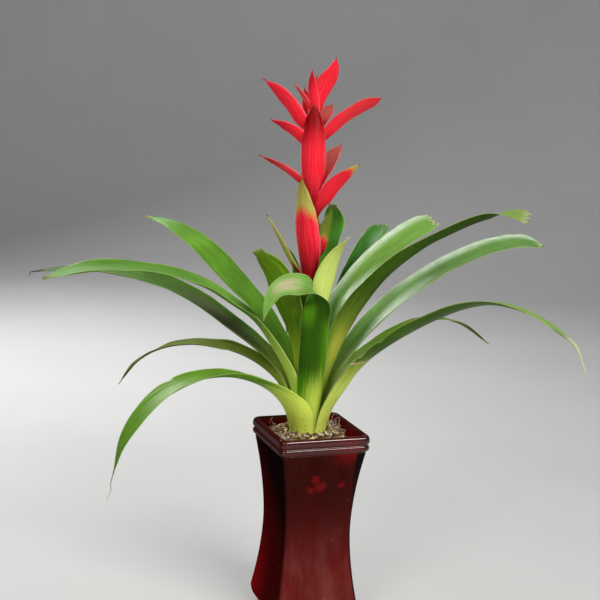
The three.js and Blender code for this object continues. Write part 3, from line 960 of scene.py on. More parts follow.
@dataclass(frozen=True)
class LeafFinish:
    """Living leaf: pale at the foot, green above, lined along its length, with a lighter margin.

    Attributes:
        foot: Colour at the very foot.
        upper: Colour of the upper face.
        lower: Colour of the lower face.
        pale: Shares of the length between which the pale foot turns green.
        flush_and_sheen: Colour of a patch over part of the blade: its own tint on some leaves, a painted
            sheen on others.
        flush_and_sheen_at: Shares where the patch starts and ends.
        flush_and_sheen_upper: Whether only the upper face has it.
        tip: Colour of the dried tip.
        dry: Share of the length where the dried tip starts.
        gloss: Roughness of the upper face.
        shine: How strongly its surface mirrors.
        half: How dark a painted shade makes one half of the lower face, and its side, -1 or 1.
        painted_sheen: Shares where a painted sheen, a pale streak along one margin, starts and ends, and its
            side, -1 or 1.
        tear: Share of the length of a healed tear across the blade, and how far it slants.
        vein: Colour of its fine paler lines.
        margin: Colour of its thin edge.
        spot: Colour of small dead spots.
        soil: Colour of the crumbs that cling to its foot.
        sheen_tone: Colour of the painted sheen.
        scar: Colour of the healed tear.
    """

    foot: str = "ccdc60"
    upper: str = "5f9a34"
    lower: str = "52801c"
    pale: tuple[float, float] = (0.05, 0.30)
    flush_and_sheen: str = "a8b04a"
    flush_and_sheen_at: tuple[float, float] = (0.0, 0.0)
    flush_and_sheen_upper: bool = False
    tip: str = "8d7a4c"
    dry: float = 0.985
    gloss: float = 0.36
    shine: float = 0.12
    half: tuple[float, int] = (0.0, 1)
    painted_sheen: tuple[float, float, int] = (0.0, 0.0, 1)
    tear: tuple[float, float] = (0.0, 0.0)
    vein: str = "9cbc4e"
    margin: str = "b9c77e"
    spot: str = "6d5a2a"
    soil: str = "6a5326"
    sheen_tone: str = "e2f0dc"
    scar: str = "c4ae84"

    def green(self, g: Graph, b: BladeFields) -> Field:
        """The blade's own green with darker streaks, lighter clouds, pale lines and its patch if it has one:
        its own tint on some leaves, a painted sheen on others.

        Args:
            g: The material's graph.
            b: The blade's fields.

        Returns:
            The colour.
        """
        green = g.mix(b.face, self.lower, self.upper)
        green = g.shaded(g.step(0.38, 0.7, b.streak), green, 0.66)
        green = g.shaded(g.step(0.45, 0.75, b.cloud), green, 1.28)
        green = g.shaded(g.step(0.4, 0.7, g.noise(g.place(), 9.0, 2, 0.5)), green, 0.8)
        green = g.mix(g.step(0.55, 0.8, b.fine) * 0.3, green, self.vein)
        low, high = self.flush_and_sheen_at
        if high <= low:
            return green
        edge = 0.45 * (high - low)
        band = g.step(low, low + edge, b.share) * g.fall(high - edge, high, b.share)
        # The patch: the leaf's own tint on some leaves, a painted sheen on others.
        patch = band * g.step(0.2, 0.6, b.streak) * g.fall(0.25, 0.8, abs(b.across))
        return g.mix(patch * (b.face if self.flush_and_sheen_upper else 1.0), green, self.flush_and_sheen)

    def footed(self, g: Graph, b: BladeFields, green: Field) -> Field:
        """The green fading to the pale foot, and a painted shade over one half of the lower face.

        Args:
            g: The material's graph.
            b: The blade's fields.
            green: The blade's own green.

        Returns:
            The colour.
        """
        dark, side = self.half
        faded = b.share + (b.streak - 0.5) * 0.22 + (abs(b.across) - 0.5) * 0.05
        # With the painted shade, the pale foot reaches further up on the side of the lighter edge.
        if dark > 0:
            faded = faded - b.across * (side * 0.09)
        colour = g.mix(g.step(*self.pale, faded), self.foot, green)
        colour = g.shaded(g.step(0.5, 0.72, b.fine) * 0.6, colour, 0.8)
        if dark <= 0:
            return colour
        # Painted shade on the lower face: near the top the half on its side is darkened; lower down the rest
        # is darkened and that half's edge stays light.
        sideways = b.across * side + (b.streak - 0.5) * 0.5
        high = g.step(0.48, 0.58, b.share)
        low = (1 - high) * g.step(0.22, 0.34, b.share)
        shade = g.step(-0.25, 0.2, sideways) * high + g.fall(0.2, 0.9, sideways) * low
        return g.shaded(shade * (1 - b.face) * dark, colour, 0.36)

    def with_painted_sheen(self, g: Graph, b: BladeFields, colour: Field) -> Field:
        """The colour with a painted sheen: a pale streak along one margin of the upper face that stands for a
        highlight.

        Args:
            g: The material's graph.
            b: The blade's fields.
            colour: The blade's colour.

        Returns:
            The colour.
        """
        start, end, side = self.painted_sheen
        # Painted highlight: a pale streak along one margin of the upper face.
        sheen = g.step(0.3, 0.9, b.across * side + (b.streak - 0.5) * 0.6) * b.face
        sheen = sheen * g.step(start, start + 0.25, b.share) * g.fall(end, end + 0.04, b.share)
        return g.mix(sheen * g.step(0.25, 0.6, b.fine) * 0.85, colour, self.sheen_tone)

    def scarred(self, g: Graph, b: BladeFields, colour: Field) -> Field:
        """The colour with a healed tear: a pale ragged line across the blade, darker green beyond it.

        Args:
            g: The material's graph.
            b: The blade's fields.
            colour: The blade's colour.

        Returns:
            The colour.
        """
        at, slant = self.tear
        away = b.share - at + b.across * (0.02 * slant) + (b.streak - 0.5) * 0.012
        beyond = g.step(0.0, 0.004, away) * g.fall(0.02, 0.16, away)
        line = g.step(-0.007, -0.003, away) * g.fall(0.001, 0.004, away)
        return g.mix(line * 0.85, g.shaded(beyond * 0.8, colour, 0.62), self.scar)

    def marked(self, g: Graph, b: BladeFields, colour: Field, length: float) -> Field:
        """The colour with its pale margin, small dead spots and the crumbs that cling to its foot.

        Args:
            g: The material's graph.
            b: The blade's fields.
            colour: The blade's colour.
            length: The blade's length in millimetres.

        Returns:
            The colour.
        """
        place = g.place()
        colour = g.mix(g.step(0.92, 0.985, abs(b.across)) * 0.42, colour, self.margin)
        spots = g.fall(0.05, 0.16, g.cells(place, 260.0)) * g.step(0.62, 0.7, b.cloud)
        colour = g.mix(spots * 0.35, colour, self.spot)
        soil = g.fall(0.05, 0.4, b.share * (length / 60)) * g.step(0.56, 0.66, g.noise(place, 330.0, 4, 0.6))
        return g.mix(soil * 0.8, colour, self.soil)

    def material(self, name: str, width: float, length: float) -> bpy.types.Material:
        """Builds the nodes.

        Args:
            name: The material's name.
            width: The blade's width in millimetres.
            length: The blade's length in millimetres.

        Returns:
            The material.
        """
        g = Graph(name)
        b = BladeFields.read(g, (width / 2, length * 0.03, 40.0), (0.9, 3.2), (32.0, 0.55))
        colour = self.footed(g, b, self.green(g, b))
        if self.painted_sheen[1] > self.painted_sheen[0]:
            colour = self.with_painted_sheen(g, b, colour)
        if self.tear[0] > 0:
            colour = self.scarred(g, b, colour)
        groove = g.fall(0.0, 0.07, abs(b.across))
        colour = self.marked(g, b, g.shaded(groove * 0.5, colour, 0.8), length)
        dried = g.step(self.dry - 0.015, min(self.dry + 0.015, 1.0), b.share + (b.streak - 0.5) * 0.03)
        ridges = g.maths("SINE", b.across * (width * 4.2) + b.streak * 2.5) * 0.5 + 0.5
        height = ridges * 0.35 + b.streak * 0.4 + b.fine * 0.25 - groove * 0.4
        rough = (1 - b.face) * 0.12 + b.streak * 0.14 + dried * 0.3 + (self.gloss - 0.07)
        surface = {"Base Color": g.mix(dried, colour, self.tip), "Roughness": rough,
                   "Specular IOR Level": self.shine, "Subsurface Weight": 0.1,
                   "Subsurface Radius": (0.4, 1.0, 0.2), "Subsurface Scale": 0.0012}
        return g.finish(surface, height, 0.00024, 0.6)


@dataclass(frozen=True)
class BractFinish:
    """Red bract: bright outside, deep towards its root, green to olive at the older tips.

    Attributes:
        red: Colour of the lit outside.
        streaked: Its lighter streaks.
        inner: Tint of the upper face.
        deep: Colour towards the root.
        shadow: Colour of darkened tips.
        dull: Colour of the dull bracts.
        green: Colour where red turns to green.
        fresh: Lighter streaks of that green.
        olive: Colour of the older tips.
        dusk: Green of a tip that is dark too.
        margin: Colour of the thin edge, partly its own paler tint and partly a painted edge highlight.
        tip: Colour of the dried tip.
    """

    red: str = "e8182a"
    streaked: str = "fb4658"
    inner: str = "c81222"
    deep: str = "7a050c"
    shadow: str = "8a0206"
    dull: str = "b8645a"
    green: str = "b4ae56"
    fresh: str = "bcc264"
    olive: str = "8a6c30"
    dusk: str = "4c6a1c"
    margin: str = "f0868a"
    tip: str = "7d4a33"

    def reddened(self, g: Graph, b: BladeFields, tint: tuple[Field, Field, Field]) -> Field:
        """The red with its streaks, dull and pinkish on the dull bracts, deep towards the root and dark at
        the tip.

        Args:
            g: The material's graph.
            b: The bract's fields.
            tint: Its green share, darkness and dullness.

        Returns:
            The colour.
        """
        green, dark, dull = tint
        edge = b.streak - 0.5
        colour = g.mix(g.step(0.36, 0.7, b.streak) * 0.7, self.red, self.streaked)
        colour = g.mix(b.face * 0.3, colour, self.inner)
        colour = g.mix(dull * g.step(0.25, 0.75, b.share + edge * 0.3), colour, self.dull)
        root = g.fall(0.05, 0.42, b.share - green * 0.5 + edge * 0.2)
        colour = g.mix(root * 0.9, colour, self.deep)
        return g.mix(g.step(0.55, 0.9, b.share + (b.cloud - 0.5) * 0.15) * dark, colour, self.shadow)

    def material(self, name: str) -> bpy.types.Material:
        """Builds the nodes.

        Args:
            name: The material's name.

        Returns:
            The material.
        """
        g = Graph(name)
        b = BladeFields.read(g, (9.0, 2.2, 30.0), (1.3, 4.5), (60.0, 0.5))
        green, dark, dull = g.tag("tint")
        colour = self.reddened(g, b, (green, dark, dull))
        past = b.share + green - 1.0 + (b.streak - 0.5) * 0.24 + (abs(b.across) - 0.4) * 0.08
        grown = g.step(0.01, 0.05, green)
        over = g.step(-0.07, 0.07, past) * grown
        colour = g.mix(over, colour, g.mix(g.step(0.35, 0.7, b.fine), self.green, self.fresh))
        ripe = g.step(-0.02, 0.3, past) * grown * (1 - dull)
        colour = g.mix(ripe * g.step(0.25, 0.6, b.streak) * 0.9, colour, self.olive)
        colour = g.mix(over * dark, colour, self.dusk)
        colour = g.shaded(g.step(0.5, 0.75, b.fine) * 0.5, colour, 0.85)
        # Pale edge: partly the bract's own paler edge, partly a painted edge highlight.
        margin = g.step(0.86, 0.97, abs(b.across)) * (1 - over)
        colour = g.mix(margin * 0.5, colour, self.margin)
        dried = g.step(0.965, 0.995, b.share)
        ridges = g.maths("SINE", b.across * 38.0 + b.streak * 2.0) * 0.5 + 0.5
        height = ridges * 0.35 + b.streak * 0.4 + b.fine * 0.25
        surface = {"Base Color": g.mix(dried * 0.8, colour, self.tip),
                   "Roughness": b.streak * 0.18 + dried * 0.3 + 0.3,
                   "Specular IOR Level": 0.06, "Subsurface Weight": 0.12,
                   "Subsurface Radius": (1.0, 0.2, 0.2), "Subsurface Scale": 0.0012}
        return g.finish(surface, height, 0.00022, 0.55)


@dataclass(frozen=True)
class RubyFinish:
    """Thick ruby glass: clear smoky glass at its corners and lip over a deep red layer.

    Attributes:
        deep: Darkest red, seen over the mix.
        wine: Red of the lower body.
        smear_and_sheen: Cloudy smears low on it: smudges and a painted milky sheen.
        brown: Cloudy smears high on it.
        wall: The left side above, in a painted shade near black.
        left_glow: The left side below, a painted red glow of light through the glass.
        wall_lit: Its lit far edge.
        brim: The dark band along the front's right edge.
        inside: Red of the inner walls.
        inside_lit: Lighter drifts of it.
        smoke: The clear glass of the corners.
        lip: The clear glass of the lip.
        dust: Dust and fine scratches.
        glow: Light that comes through.
        glows: Places on the front, x and z, and radius, in metres, where it does.
    """

    deep: str = "330b09"
    wine: str = "5e1816"
    smear_and_sheen: str = "6e3a36"
    brown: str = "34180f"
    wall: str = "120606"
    left_glow: str = "340706"
    wall_lit: str = "880a12"
    brim: str = "100c0c"
    inside: str = "5a0503"
    inside_lit: str = "7c0806"
    smoke: str = "1c1414"
    lip: str = "4a1512"
    dust: str = "a08c84"
    glow: str = "8a1016"
    glows: tuple[tuple[float, float, float], ...] = (
        (-0.006, 0.128, 0.004), (-0.003, 0.122, 0.005), (-0.01, 0.119, 0.004), (0.017, 0.123, 0.004),
        (0.022, 0.156, 0.018))

    def red(self, g: Graph, z: Field, drift: Field, smear: Field) -> Field:
        """The red layer: deep above, wine below, with drifts, veins and cloudy smears, the low ones partly a
        painted milky sheen.

        Args:
            g: The material's graph.
            z: Height in metres.
            drift: Slow upright drifts, 0 to 1.
            smear: Cloudy smears, 0 to 1.

        Returns:
            The colour.
        """
        colour = g.mix(g.fall(0.02, 0.125, z + (drift - 0.5) * 0.06), self.deep, self.wine)
        # Low smears: smudges and a painted milky sheen.
        colour = g.mix(g.step(0.35, 0.7, smear) * g.fall(0.03, 0.11, z) * 0.55, colour, self.smear_and_sheen)
        colour = g.mix(g.step(0.3, 0.7, smear) * g.step(0.06, 0.12, z) * 0.4, colour, self.brown)
        return g.shaded(g.step(0.4, 0.7, drift), colour, 1.25)

    def lit(self, g: Graph, colour: Field, blot: Field) -> Field:
        """The colour with the front's lit patches: round ones whose edges small clouds push about.

        Args:
            g: The material's graph.
            colour: The front's colour.
            blot: The clouds, 0 to 1.

        Returns:
            The colour.
        """
        x, y, z = g.split(g.place())
        front = g.fall(-0.01, 0.0, y)
        for across, up, radius in self.glows:
            away = g.maths("SQRT", (x - across) * (x - across) + (z - up) * (z - up)) + (blot - 0.5) * 0.014
            colour = g.mix(g.fall(radius * 0.2, radius * 1.2, away) * front * 0.42, colour, self.glow)
        return colour

    def painted_left_side(self, g: Graph, z: Field, along: Field, drift: Field) -> Field:
        """The left side in painted light and shade: a painted shade nearly black above, a painted red glow
        below and painted light brightest along its far edge.

        Args:
            g: The material's graph.
            z: Height in metres.
            along: Place across the side, from -1 to 1.
            drift: Slow upright drifts, 0 to 1.

        Returns:
            The colour.
        """
        # Painted shade above, painted glow below and painted light along the far edge.
        red = g.fall(0.0, 0.07, z - 0.075 - along * 0.04 + (drift - 0.5) * 0.05)
        lit = g.step(-0.3, 1.0, along) * g.fall(0.005, 0.10, z) * 0.65
        return g.mix(lit, g.mix(red, self.wall, self.left_glow), self.wall_lit)

    def material(self, name: str) -> bpy.types.Material:
        """Builds the nodes.

        Args:
            name: The material's name.

        Returns:
            The material.
        """
        g = Graph(name)
        inner, corner, lip = g.tag("glaze")
        right, rear, along = g.tag("facing")
        left, front = g.step(0.5, 0.9, right * -1.0), g.step(0.5, 0.9, rear * -1.0)
        x, _, z = g.split(g.place())
        drift = g.noise(g.stretched(1.0, 0.35), 26.0, 3, 0.55)
        vein = g.noise(g.stretched(3.0, 0.4), 60.0, 2, 0.5)
        smear = g.noise(g.stretched(2.0, 0.6), 38.0, 4, 0.6)
        hair = g.noise(g.stretched(0.35, 2.4), 260.0, 2, 0.5)
        blot = g.noise(g.place(), 130.0, 3, 0.5)
        colour = g.shaded(g.step(0.45, 0.7, vein) * 0.6, self.red(g, z, drift, smear), 0.8)
        # The left side takes its painted light and shade.
        colour = g.mix(left, self.lit(g, colour, blot), self.painted_left_side(g, z, along, drift))
        high = g.step(0.07, 0.15, z)
        brim = g.step(-0.04, 0.03, along + high * 0.25 - 1.0) * high * front
        colour = g.mix(brim, colour, self.brim)
        inside = g.mix(g.step(0.35, 0.7, drift), self.inside, self.inside_lit)
        colour = g.mix(inner, colour, inside)
        clear = g.step(0.45, 0.75, corner + (vein - 0.5) * 0.15) * (1 - inner) * g.step(-0.02, 0.0, x)
        colour = g.mix(clear * 0.85, colour, self.smoke)
        colour = g.mix(lip * 0.6, colour, self.lip)
        dust = g.fall(0.03, 0.09, g.cells(g.place(), 190.0)) * g.step(0.6, 0.68, drift)
        dust = dust + g.step(0.71, 0.74, hair) * g.step(0.5, 0.6, blot)
        coat = lip * (front * 0.84 + 0.16) + front * 0.05 + (1 - left) * (1 - front) * 0.1
        surface = {"Base Color": g.mix(dust * 0.3, colour, self.dust),
                   "Roughness": g.step(0.5, 0.8, smear) * 0.1 + dust * 0.25 + 0.05,
                   "Specular IOR Level": 0.0, "Coat Weight": coat, "Coat Roughness": 0.05}
        return g.finish(surface, drift * 0.8 + vein * 0.2, 0.0006, 0.22)


@dataclass(frozen=True)
class GrainFinish:
    """Loose mix: dark crumb, bark in browns, straw and pale grit, by each grain's own kind and shade.

    Attributes:
        crumb: Darkest and lightest crumb between the grains.
        bark: Darkest and lightest bark.
        straw: The palest grains of bark and straw.
        grit: Darkest and lightest grit.
    """

    crumb: tuple[str, str] = ("1f150d", "5b422a")
    bark: tuple[str, str] = ("46301f", "b08e64")
    straw: str = "dccaa0"
    grit: tuple[str, str] = ("cfc6b4", "f2ede2")

    def material(self, name: str) -> bpy.types.Material:
        """Builds the nodes.

        Args:
            name: The material's name.

        Returns:
            The material.
        """
        g = Graph(name)
        kind, shade, _ = g.tag("grain")
        x, y, z = g.split(g.place())
        crumb = g.noise(g.place(), 520.0, 4, 0.65)
        fibre = g.noise(g.vector(x, y * 3.0, z), 700.0, 3, 0.5)
        bark = g.mix(shade, *self.bark)
        bark = g.mix(g.step(0.6, 0.9, shade), bark, self.straw)
        ground = g.mix(g.step(0.4, 0.65, crumb), *self.crumb)
        colour = g.mix(g.step(0.3, 0.4, kind), ground, bark)
        colour = g.mix(g.step(0.75, 0.85, kind), colour, g.mix(crumb, *self.grit))
        colour = g.shaded(g.step(0.45, 0.7, fibre), colour, 0.68)
        colour = g.shaded(g.step(0.5, 0.8, crumb) * 0.6, colour, 1.25)
        surface = {"Base Color": colour, "Roughness": crumb * 0.2 + 0.72, "Specular IOR Level": 0.3}
        return g.finish(surface, crumb * 0.6 + fibre * 0.4, 0.0005, 0.8)


@dataclass(frozen=True)
class RootFinish:
    """Dry roots and the plant's base: straw to pale green, ringed and fibrous.

    Attributes:
        light: The paler colour.
        dark: The darker one.
    """

    light: str
    dark: str

    def material(self, name: str) -> bpy.types.Material:
        """Builds the nodes.

        Args:
            name: The material's name.

        Returns:
            The material.
        """
        g = Graph(name)
        rings = g.noise(g.stretched(0.3, 3.0), 300.0, 3, 0.6)
        spots = g.noise(g.place(), 420.0, 3, 0.6)
        colour = g.mix(g.step(0.3, 0.7, rings), self.dark, self.light)
        colour = g.shaded(g.step(0.5, 0.8, spots), colour, 0.75)
        surface = {"Base Color": colour, "Roughness": spots * 0.2 + 0.55}
        return g.finish(surface, rings * 0.6 + spots * 0.4, 0.0003, 0.6)


def square_pattern(corner_steps: int, flat_steps: int) -> tuple[np.ndarray, np.ndarray]:
    """The pattern of a rounded square: a corner centre and a direction for each point round it.

    A point is the corner centre times the half width less the radius, plus the direction times the radius.

    Args:
        corner_steps: Steps round each corner.
        flat_steps: Steps along each flat.

    Returns:
        Centres and directions, n by 2 each.
    """
    centres, directions = [], []
    for k in range(4):
        middle = math.pi / 4 + k * math.pi / 2
        centre = np.sign([math.cos(middle), math.sin(middle)])
        after = np.sign([math.cos(middle + math.pi / 2), math.sin(middle + math.pi / 2)])
        angle = middle + np.linspace(-math.pi / 4, math.pi / 4, corner_steps + 1)
        share = np.arange(1, flat_steps)[:, None] / flat_steps
        centres += [np.tile(centre, (corner_steps + 1, 1)), centre + (after - centre) * share]
        flat = [math.cos(middle + math.pi / 4), math.sin(middle + math.pi / 4)]
        directions += [np.stack([np.cos(angle), np.sin(angle)], -1), np.tile(flat, (flat_steps - 1, 1))]
    return np.vstack(centres), np.vstack(directions)


def levelled(flat: np.ndarray, heights: np.ndarray) -> np.ndarray:
    """Rings of flat points, each set at its own height.

    Args:
        flat: Rings by points by 2.
        heights: One for each ring.

    Returns:
        Rings by points by 3.
    """
    return np.concatenate([flat, np.broadcast_to(heights[:, None, None], (*flat.shape[:2], 1))], -1)


def square_rings(profile: np.ndarray, radius: np.ndarray | float,
                 pattern: tuple[np.ndarray, np.ndarray]) -> np.ndarray:
    """Rounded squares at the steps of a profile.

    Args:
        profile: Half widths and heights, n by 2.
        radius: The corners' radius, one for all or one for each step.
        pattern: Corner centres and directions.

    Returns:
        Rings by points by 3.
    """
    centres, directions = pattern
    half, round_by = np.broadcast_arrays(profile[:, 0], radius)
    flat = (half - round_by)[:, None, None] * centres + round_by[:, None, None] * directions
    return levelled(flat, profile[:, 1])


def body_half(z: np.ndarray | float) -> np.ndarray:
    """Half the vase's width: half the waist plus the flare times a power of the distance from the waist."""
    return WAIST / 2 + FLARE * (np.abs(z - WAIST_HEIGHT) / (VASE_HEIGHT - WAIST_HEIGHT)) ** FLARE_POWER


def inner_profile() -> np.ndarray:
    """The wall inside the glass from under the lip down to its floor, the foot of the wall a quarter circle.

    Returns:
        Half widths and heights, n by 2.
    """
    heights = np.arange(INSIDE_TOP, GLASS_FLOOR + INNER_CORNER + INSIDE_STEP, -INSIDE_STEP)
    wall = np.stack([body_half(heights) - WALL, heights], -1)
    foot = body_half(GLASS_FLOOR + INNER_CORNER) - WALL
    angle = np.linspace(0, math.pi / 2, 7)
    bend = np.stack([foot - INNER_CORNER + (INNER_CORNER - 1) * np.cos(angle),
                     GLASS_FLOOR + INNER_CORNER * (1 - np.sin(angle))], -1)
    return np.vstack([wall, bend])


@dataclass(frozen=True)
class Vase:
    """The waisted square vase of thick ruby glass.

    Attributes:
        finish: Its glass.
        corner_steps: Steps round each corner.
        flat_steps: Steps along each flat.
        base_shares: Rings of the flat base, as shares of its half width.
        floor_shares: Rings of the glass floor inside, as shares of its own.
        heel_steps: Steps round the heel.
        body_step: Height between two rings of the body.
        lip_steps: Steps over the lip.
        lip_fade: Steps over which the lip's clear glass fades into the wall inside.
    """

    finish: RubyFinish = RubyFinish()
    corner_steps: int = 10
    flat_steps: int = 16
    base_shares: tuple[float, ...] = (0.25, 0.5, 0.75, 0.96)
    floor_shares: tuple[float, ...] = (0.9, 0.6, 0.3)
    heel_steps: int = 14
    body_step: float = 2.5
    lip_steps: int = 70
    lip_fade: int = 10

    def outside(self) -> np.ndarray:
        """The base, the quarter round of the heel and the waisted body up to the lip.

        Returns:
            Half widths and heights, n by 2.
        """
        half, angle = BASE_FLAT / 2, np.linspace(0, math.pi / 2, self.heel_steps)
        base = np.array([(half * share, 0.0) for share in self.base_shares])
        heel = np.stack([half + (body_half(HEEL_HEIGHT) - half) * np.sin(angle),
                         HEEL_HEIGHT * (1 - np.cos(angle))], -1)
        heights = np.arange(HEEL_HEIGHT + 3, LIP_START, self.body_step)
        return np.vstack([base, heel, np.stack([body_half(heights), heights], -1)])

    def lip(self) -> np.ndarray:
        """The rolled lip with its groove, a smooth line over the top and down to the inner wall.

        Returns:
            Half widths and heights, n by 2.
        """
        rows = [(MOUTH / 2 - inset, 0.0, z) for inset, z in (*OUTER_LIP, *INNER_LIP)]
        rows.insert(0, (body_half(LIP_START), 0.0, LIP_START))
        return spine(np.array(rows), np.linspace(0, 1, self.lip_steps))[0][:, [0, 2]]

    def solid(self) -> Solid:
        """The glass as one closed body: each row of its profile a rounded square, from the base to the floor.

        Returns:
            The body, tagged glaze (inner, corner, lip) and facing (direction, place across that side).
        """
        outside, lip, inside = self.outside(), self.lip(), inner_profile()
        floor = np.array([(inside[-1, 0] * share, GLASS_FLOOR) for share in self.floor_shares])
        rows = np.vstack([outside, lip, inside, floor])
        row = np.arange(len(rows))[:, None] - len(outside)
        radius = np.interp(row[:, 0], [0, self.lip_steps], [OUTER_CORNER, INNER_CORNER])
        centres, directions = square_pattern(self.corner_steps, self.flat_steps)
        rings = square_rings(rows, np.minimum(radius, rows[:, 0] * 0.6), (centres, directions))
        slant = np.abs(directions)
        on_lip = smooth(0, 6, row) * (1 - smooth(self.lip_steps - self.lip_fade, self.lip_steps, row))
        inner = smooth(0, 5, row - (self.lip_steps - 8))
        glaze = np.stack(np.broadcast_arrays(inner, slant.min(1) / slant.max(1), on_lip), -1)
        across = np.where(slant[:, 0] < slant[:, 1], rings[..., 0], rings[..., 1]) / rows[:, :1]
        facing = np.stack(np.broadcast_arrays(directions[:, 0], directions[:, 1], across), -1)
        return skin(rings).tagged(glaze=np.vstack([glaze.reshape(-1, 3), [[0, 0, 0], [1, 0, 0]]]),
                                  facing=np.vstack([facing.reshape(-1, 3), np.zeros((2, 3))]))

    def build(self) -> None:
        """Makes the vase and dresses it."""
        piece = self.solid().build("vase_glass")
        dress(piece, self.finish.material("ruby glass"), Slot.GLASS, "vase")


def mix_height(share: np.ndarray, x: np.ndarray, y: np.ndarray) -> np.ndarray:
    """Height of the mix: from the wall's level up to the foot's by a power of the share, with low lumps."""
    mound = MIX_AT_WALL + (MIX_AT_FOOT - MIX_AT_WALL) * (1 - share) ** MOUND_POWER
    return mound + LUMP * np.sin(LUMP_X[0] * x + LUMP_X[1]) * np.cos(LUMP_Y[0] * y + LUMP_Y[1])


def ball(subdivisions: int) -> tuple[np.ndarray, np.ndarray]:
    """A round body of near-equal triangles, of radius 1.

    Args:
        subdivisions: How often its triangles are divided.

    Returns:
        Points and triangles.
    """
    template = bmesh.new()
    bmesh.ops.create_icosphere(template, subdivisions=subdivisions, radius=1.0)
    points = np.array([v.co[:] for v in template.verts])
    faces = np.array([[v.index for v in f.verts] for f in template.faces])
    template.free()
    return points, faces


@dataclass(frozen=True)
class Grains:
    """One kind of loose grain on the mix.

    Attributes:
        count: How many lie on it.
        kind: Number that the finish reads: about 0.5 for bark and straw, 1 for grit.
        size: Smallest and largest radius in millimetres.
        shape: Proportions along the grain's own sides.
        subdivisions: How round each is.
        uneven: How far a point of its surface is pushed in or out, as a share of the radius.
        stretch: Least and most that each grain's own sides are scaled.
        lean: How far it typically leans, in radians.
        spread: Shares of the way from the hole to the wall between which it lies.
    """

    count: int
    kind: float
    size: tuple[float, float]
    shape: tuple[float, float, float]
    subdivisions: int = 1
    uneven: float = 0.28
    stretch: tuple[float, float] = (0.7, 1.3)
    lean: float = 0.45
    spread: tuple[float, float] = (0.04, 0.94)

    def bodies(self, rng: np.random.Generator, points: np.ndarray) -> tuple[np.ndarray, np.ndarray]:
        """The round body scaled, roughened, leaned and turned anew for each grain.

        Args:
            rng: Draws everything.
            points: Points of the round body.

        Returns:
            Grains by points by 3, about their own middles, and the grains' radii.
        """
        radius = rng.uniform(*self.size, self.count)
        rough = 1 + rng.uniform(-self.uneven, self.uneven, (self.count, len(points)))
        body = points * rough[..., None] * radius[:, None, None] * np.array(self.shape)
        body = body * rng.uniform(*self.stretch, (self.count, 1, 3))
        tilt = rng.normal(0, self.lean, self.count)
        spin = rng.uniform(0, 2 * np.pi, self.count)
        ct, st, cs, ss = np.cos(tilt), np.sin(tilt), np.cos(spin), np.sin(spin)
        zero, one = np.zeros(self.count), np.ones(self.count)
        leaned = np.array([[ct, zero, st], [zero, one, zero], [-st, zero, ct]]).transpose(2, 0, 1)
        around = np.array([[cs, -ss, zero], [ss, cs, zero], [zero, zero, one]]).transpose(2, 0, 1)
        return np.einsum("nij,nkj->nki", around @ leaned, body), radius

    def strewn(self, wall: np.ndarray, hole: np.ndarray, rng: np.random.Generator) -> Solid:
        """The grains on the mix, each at a share of the way along a ray from the hole to the wall.

        Args:
            wall: The rays' ends at the wall, n by 2.
            hole: Their starts at the hole.
            rng: Draws everything.

        Returns:
            All of them as one solid.
        """
        points, faces = ball(self.subdivisions)
        ray = rng.integers(0, len(wall), self.count)
        share = rng.uniform(*self.spread, self.count)
        spot = hole[ray] + (wall[ray] - hole[ray]) * share[:, None] + rng.normal(0, 0.5, (self.count, 2))
        body, radius = self.bodies(rng, points)
        lift = radius * self.shape[2] * rng.uniform(0.1, 0.8, self.count)
        top = mix_height(share, spot[:, 0], spot[:, 1])
        body = body + np.stack([spot[:, 0], spot[:, 1], top + lift], -1)[:, None]
        limit = float(np.abs(wall).max()) - 0.2
        body[..., :2] = np.clip(body[..., :2], -limit, limit)
        shade = np.clip(rng.beta(1.6, 1.5, self.count), 0, 1)
        tags = np.stack([np.full(self.count, self.kind), shade, np.zeros(self.count)], -1)
        starts = (np.arange(self.count) * len(points))[:, None, None]
        solid = Solid(body.reshape(-1, 3), np.zeros((0, 4), int), (faces + starts).reshape(-1, 3))
        return solid.tagged(grain=np.repeat(tags, len(points), axis=0))


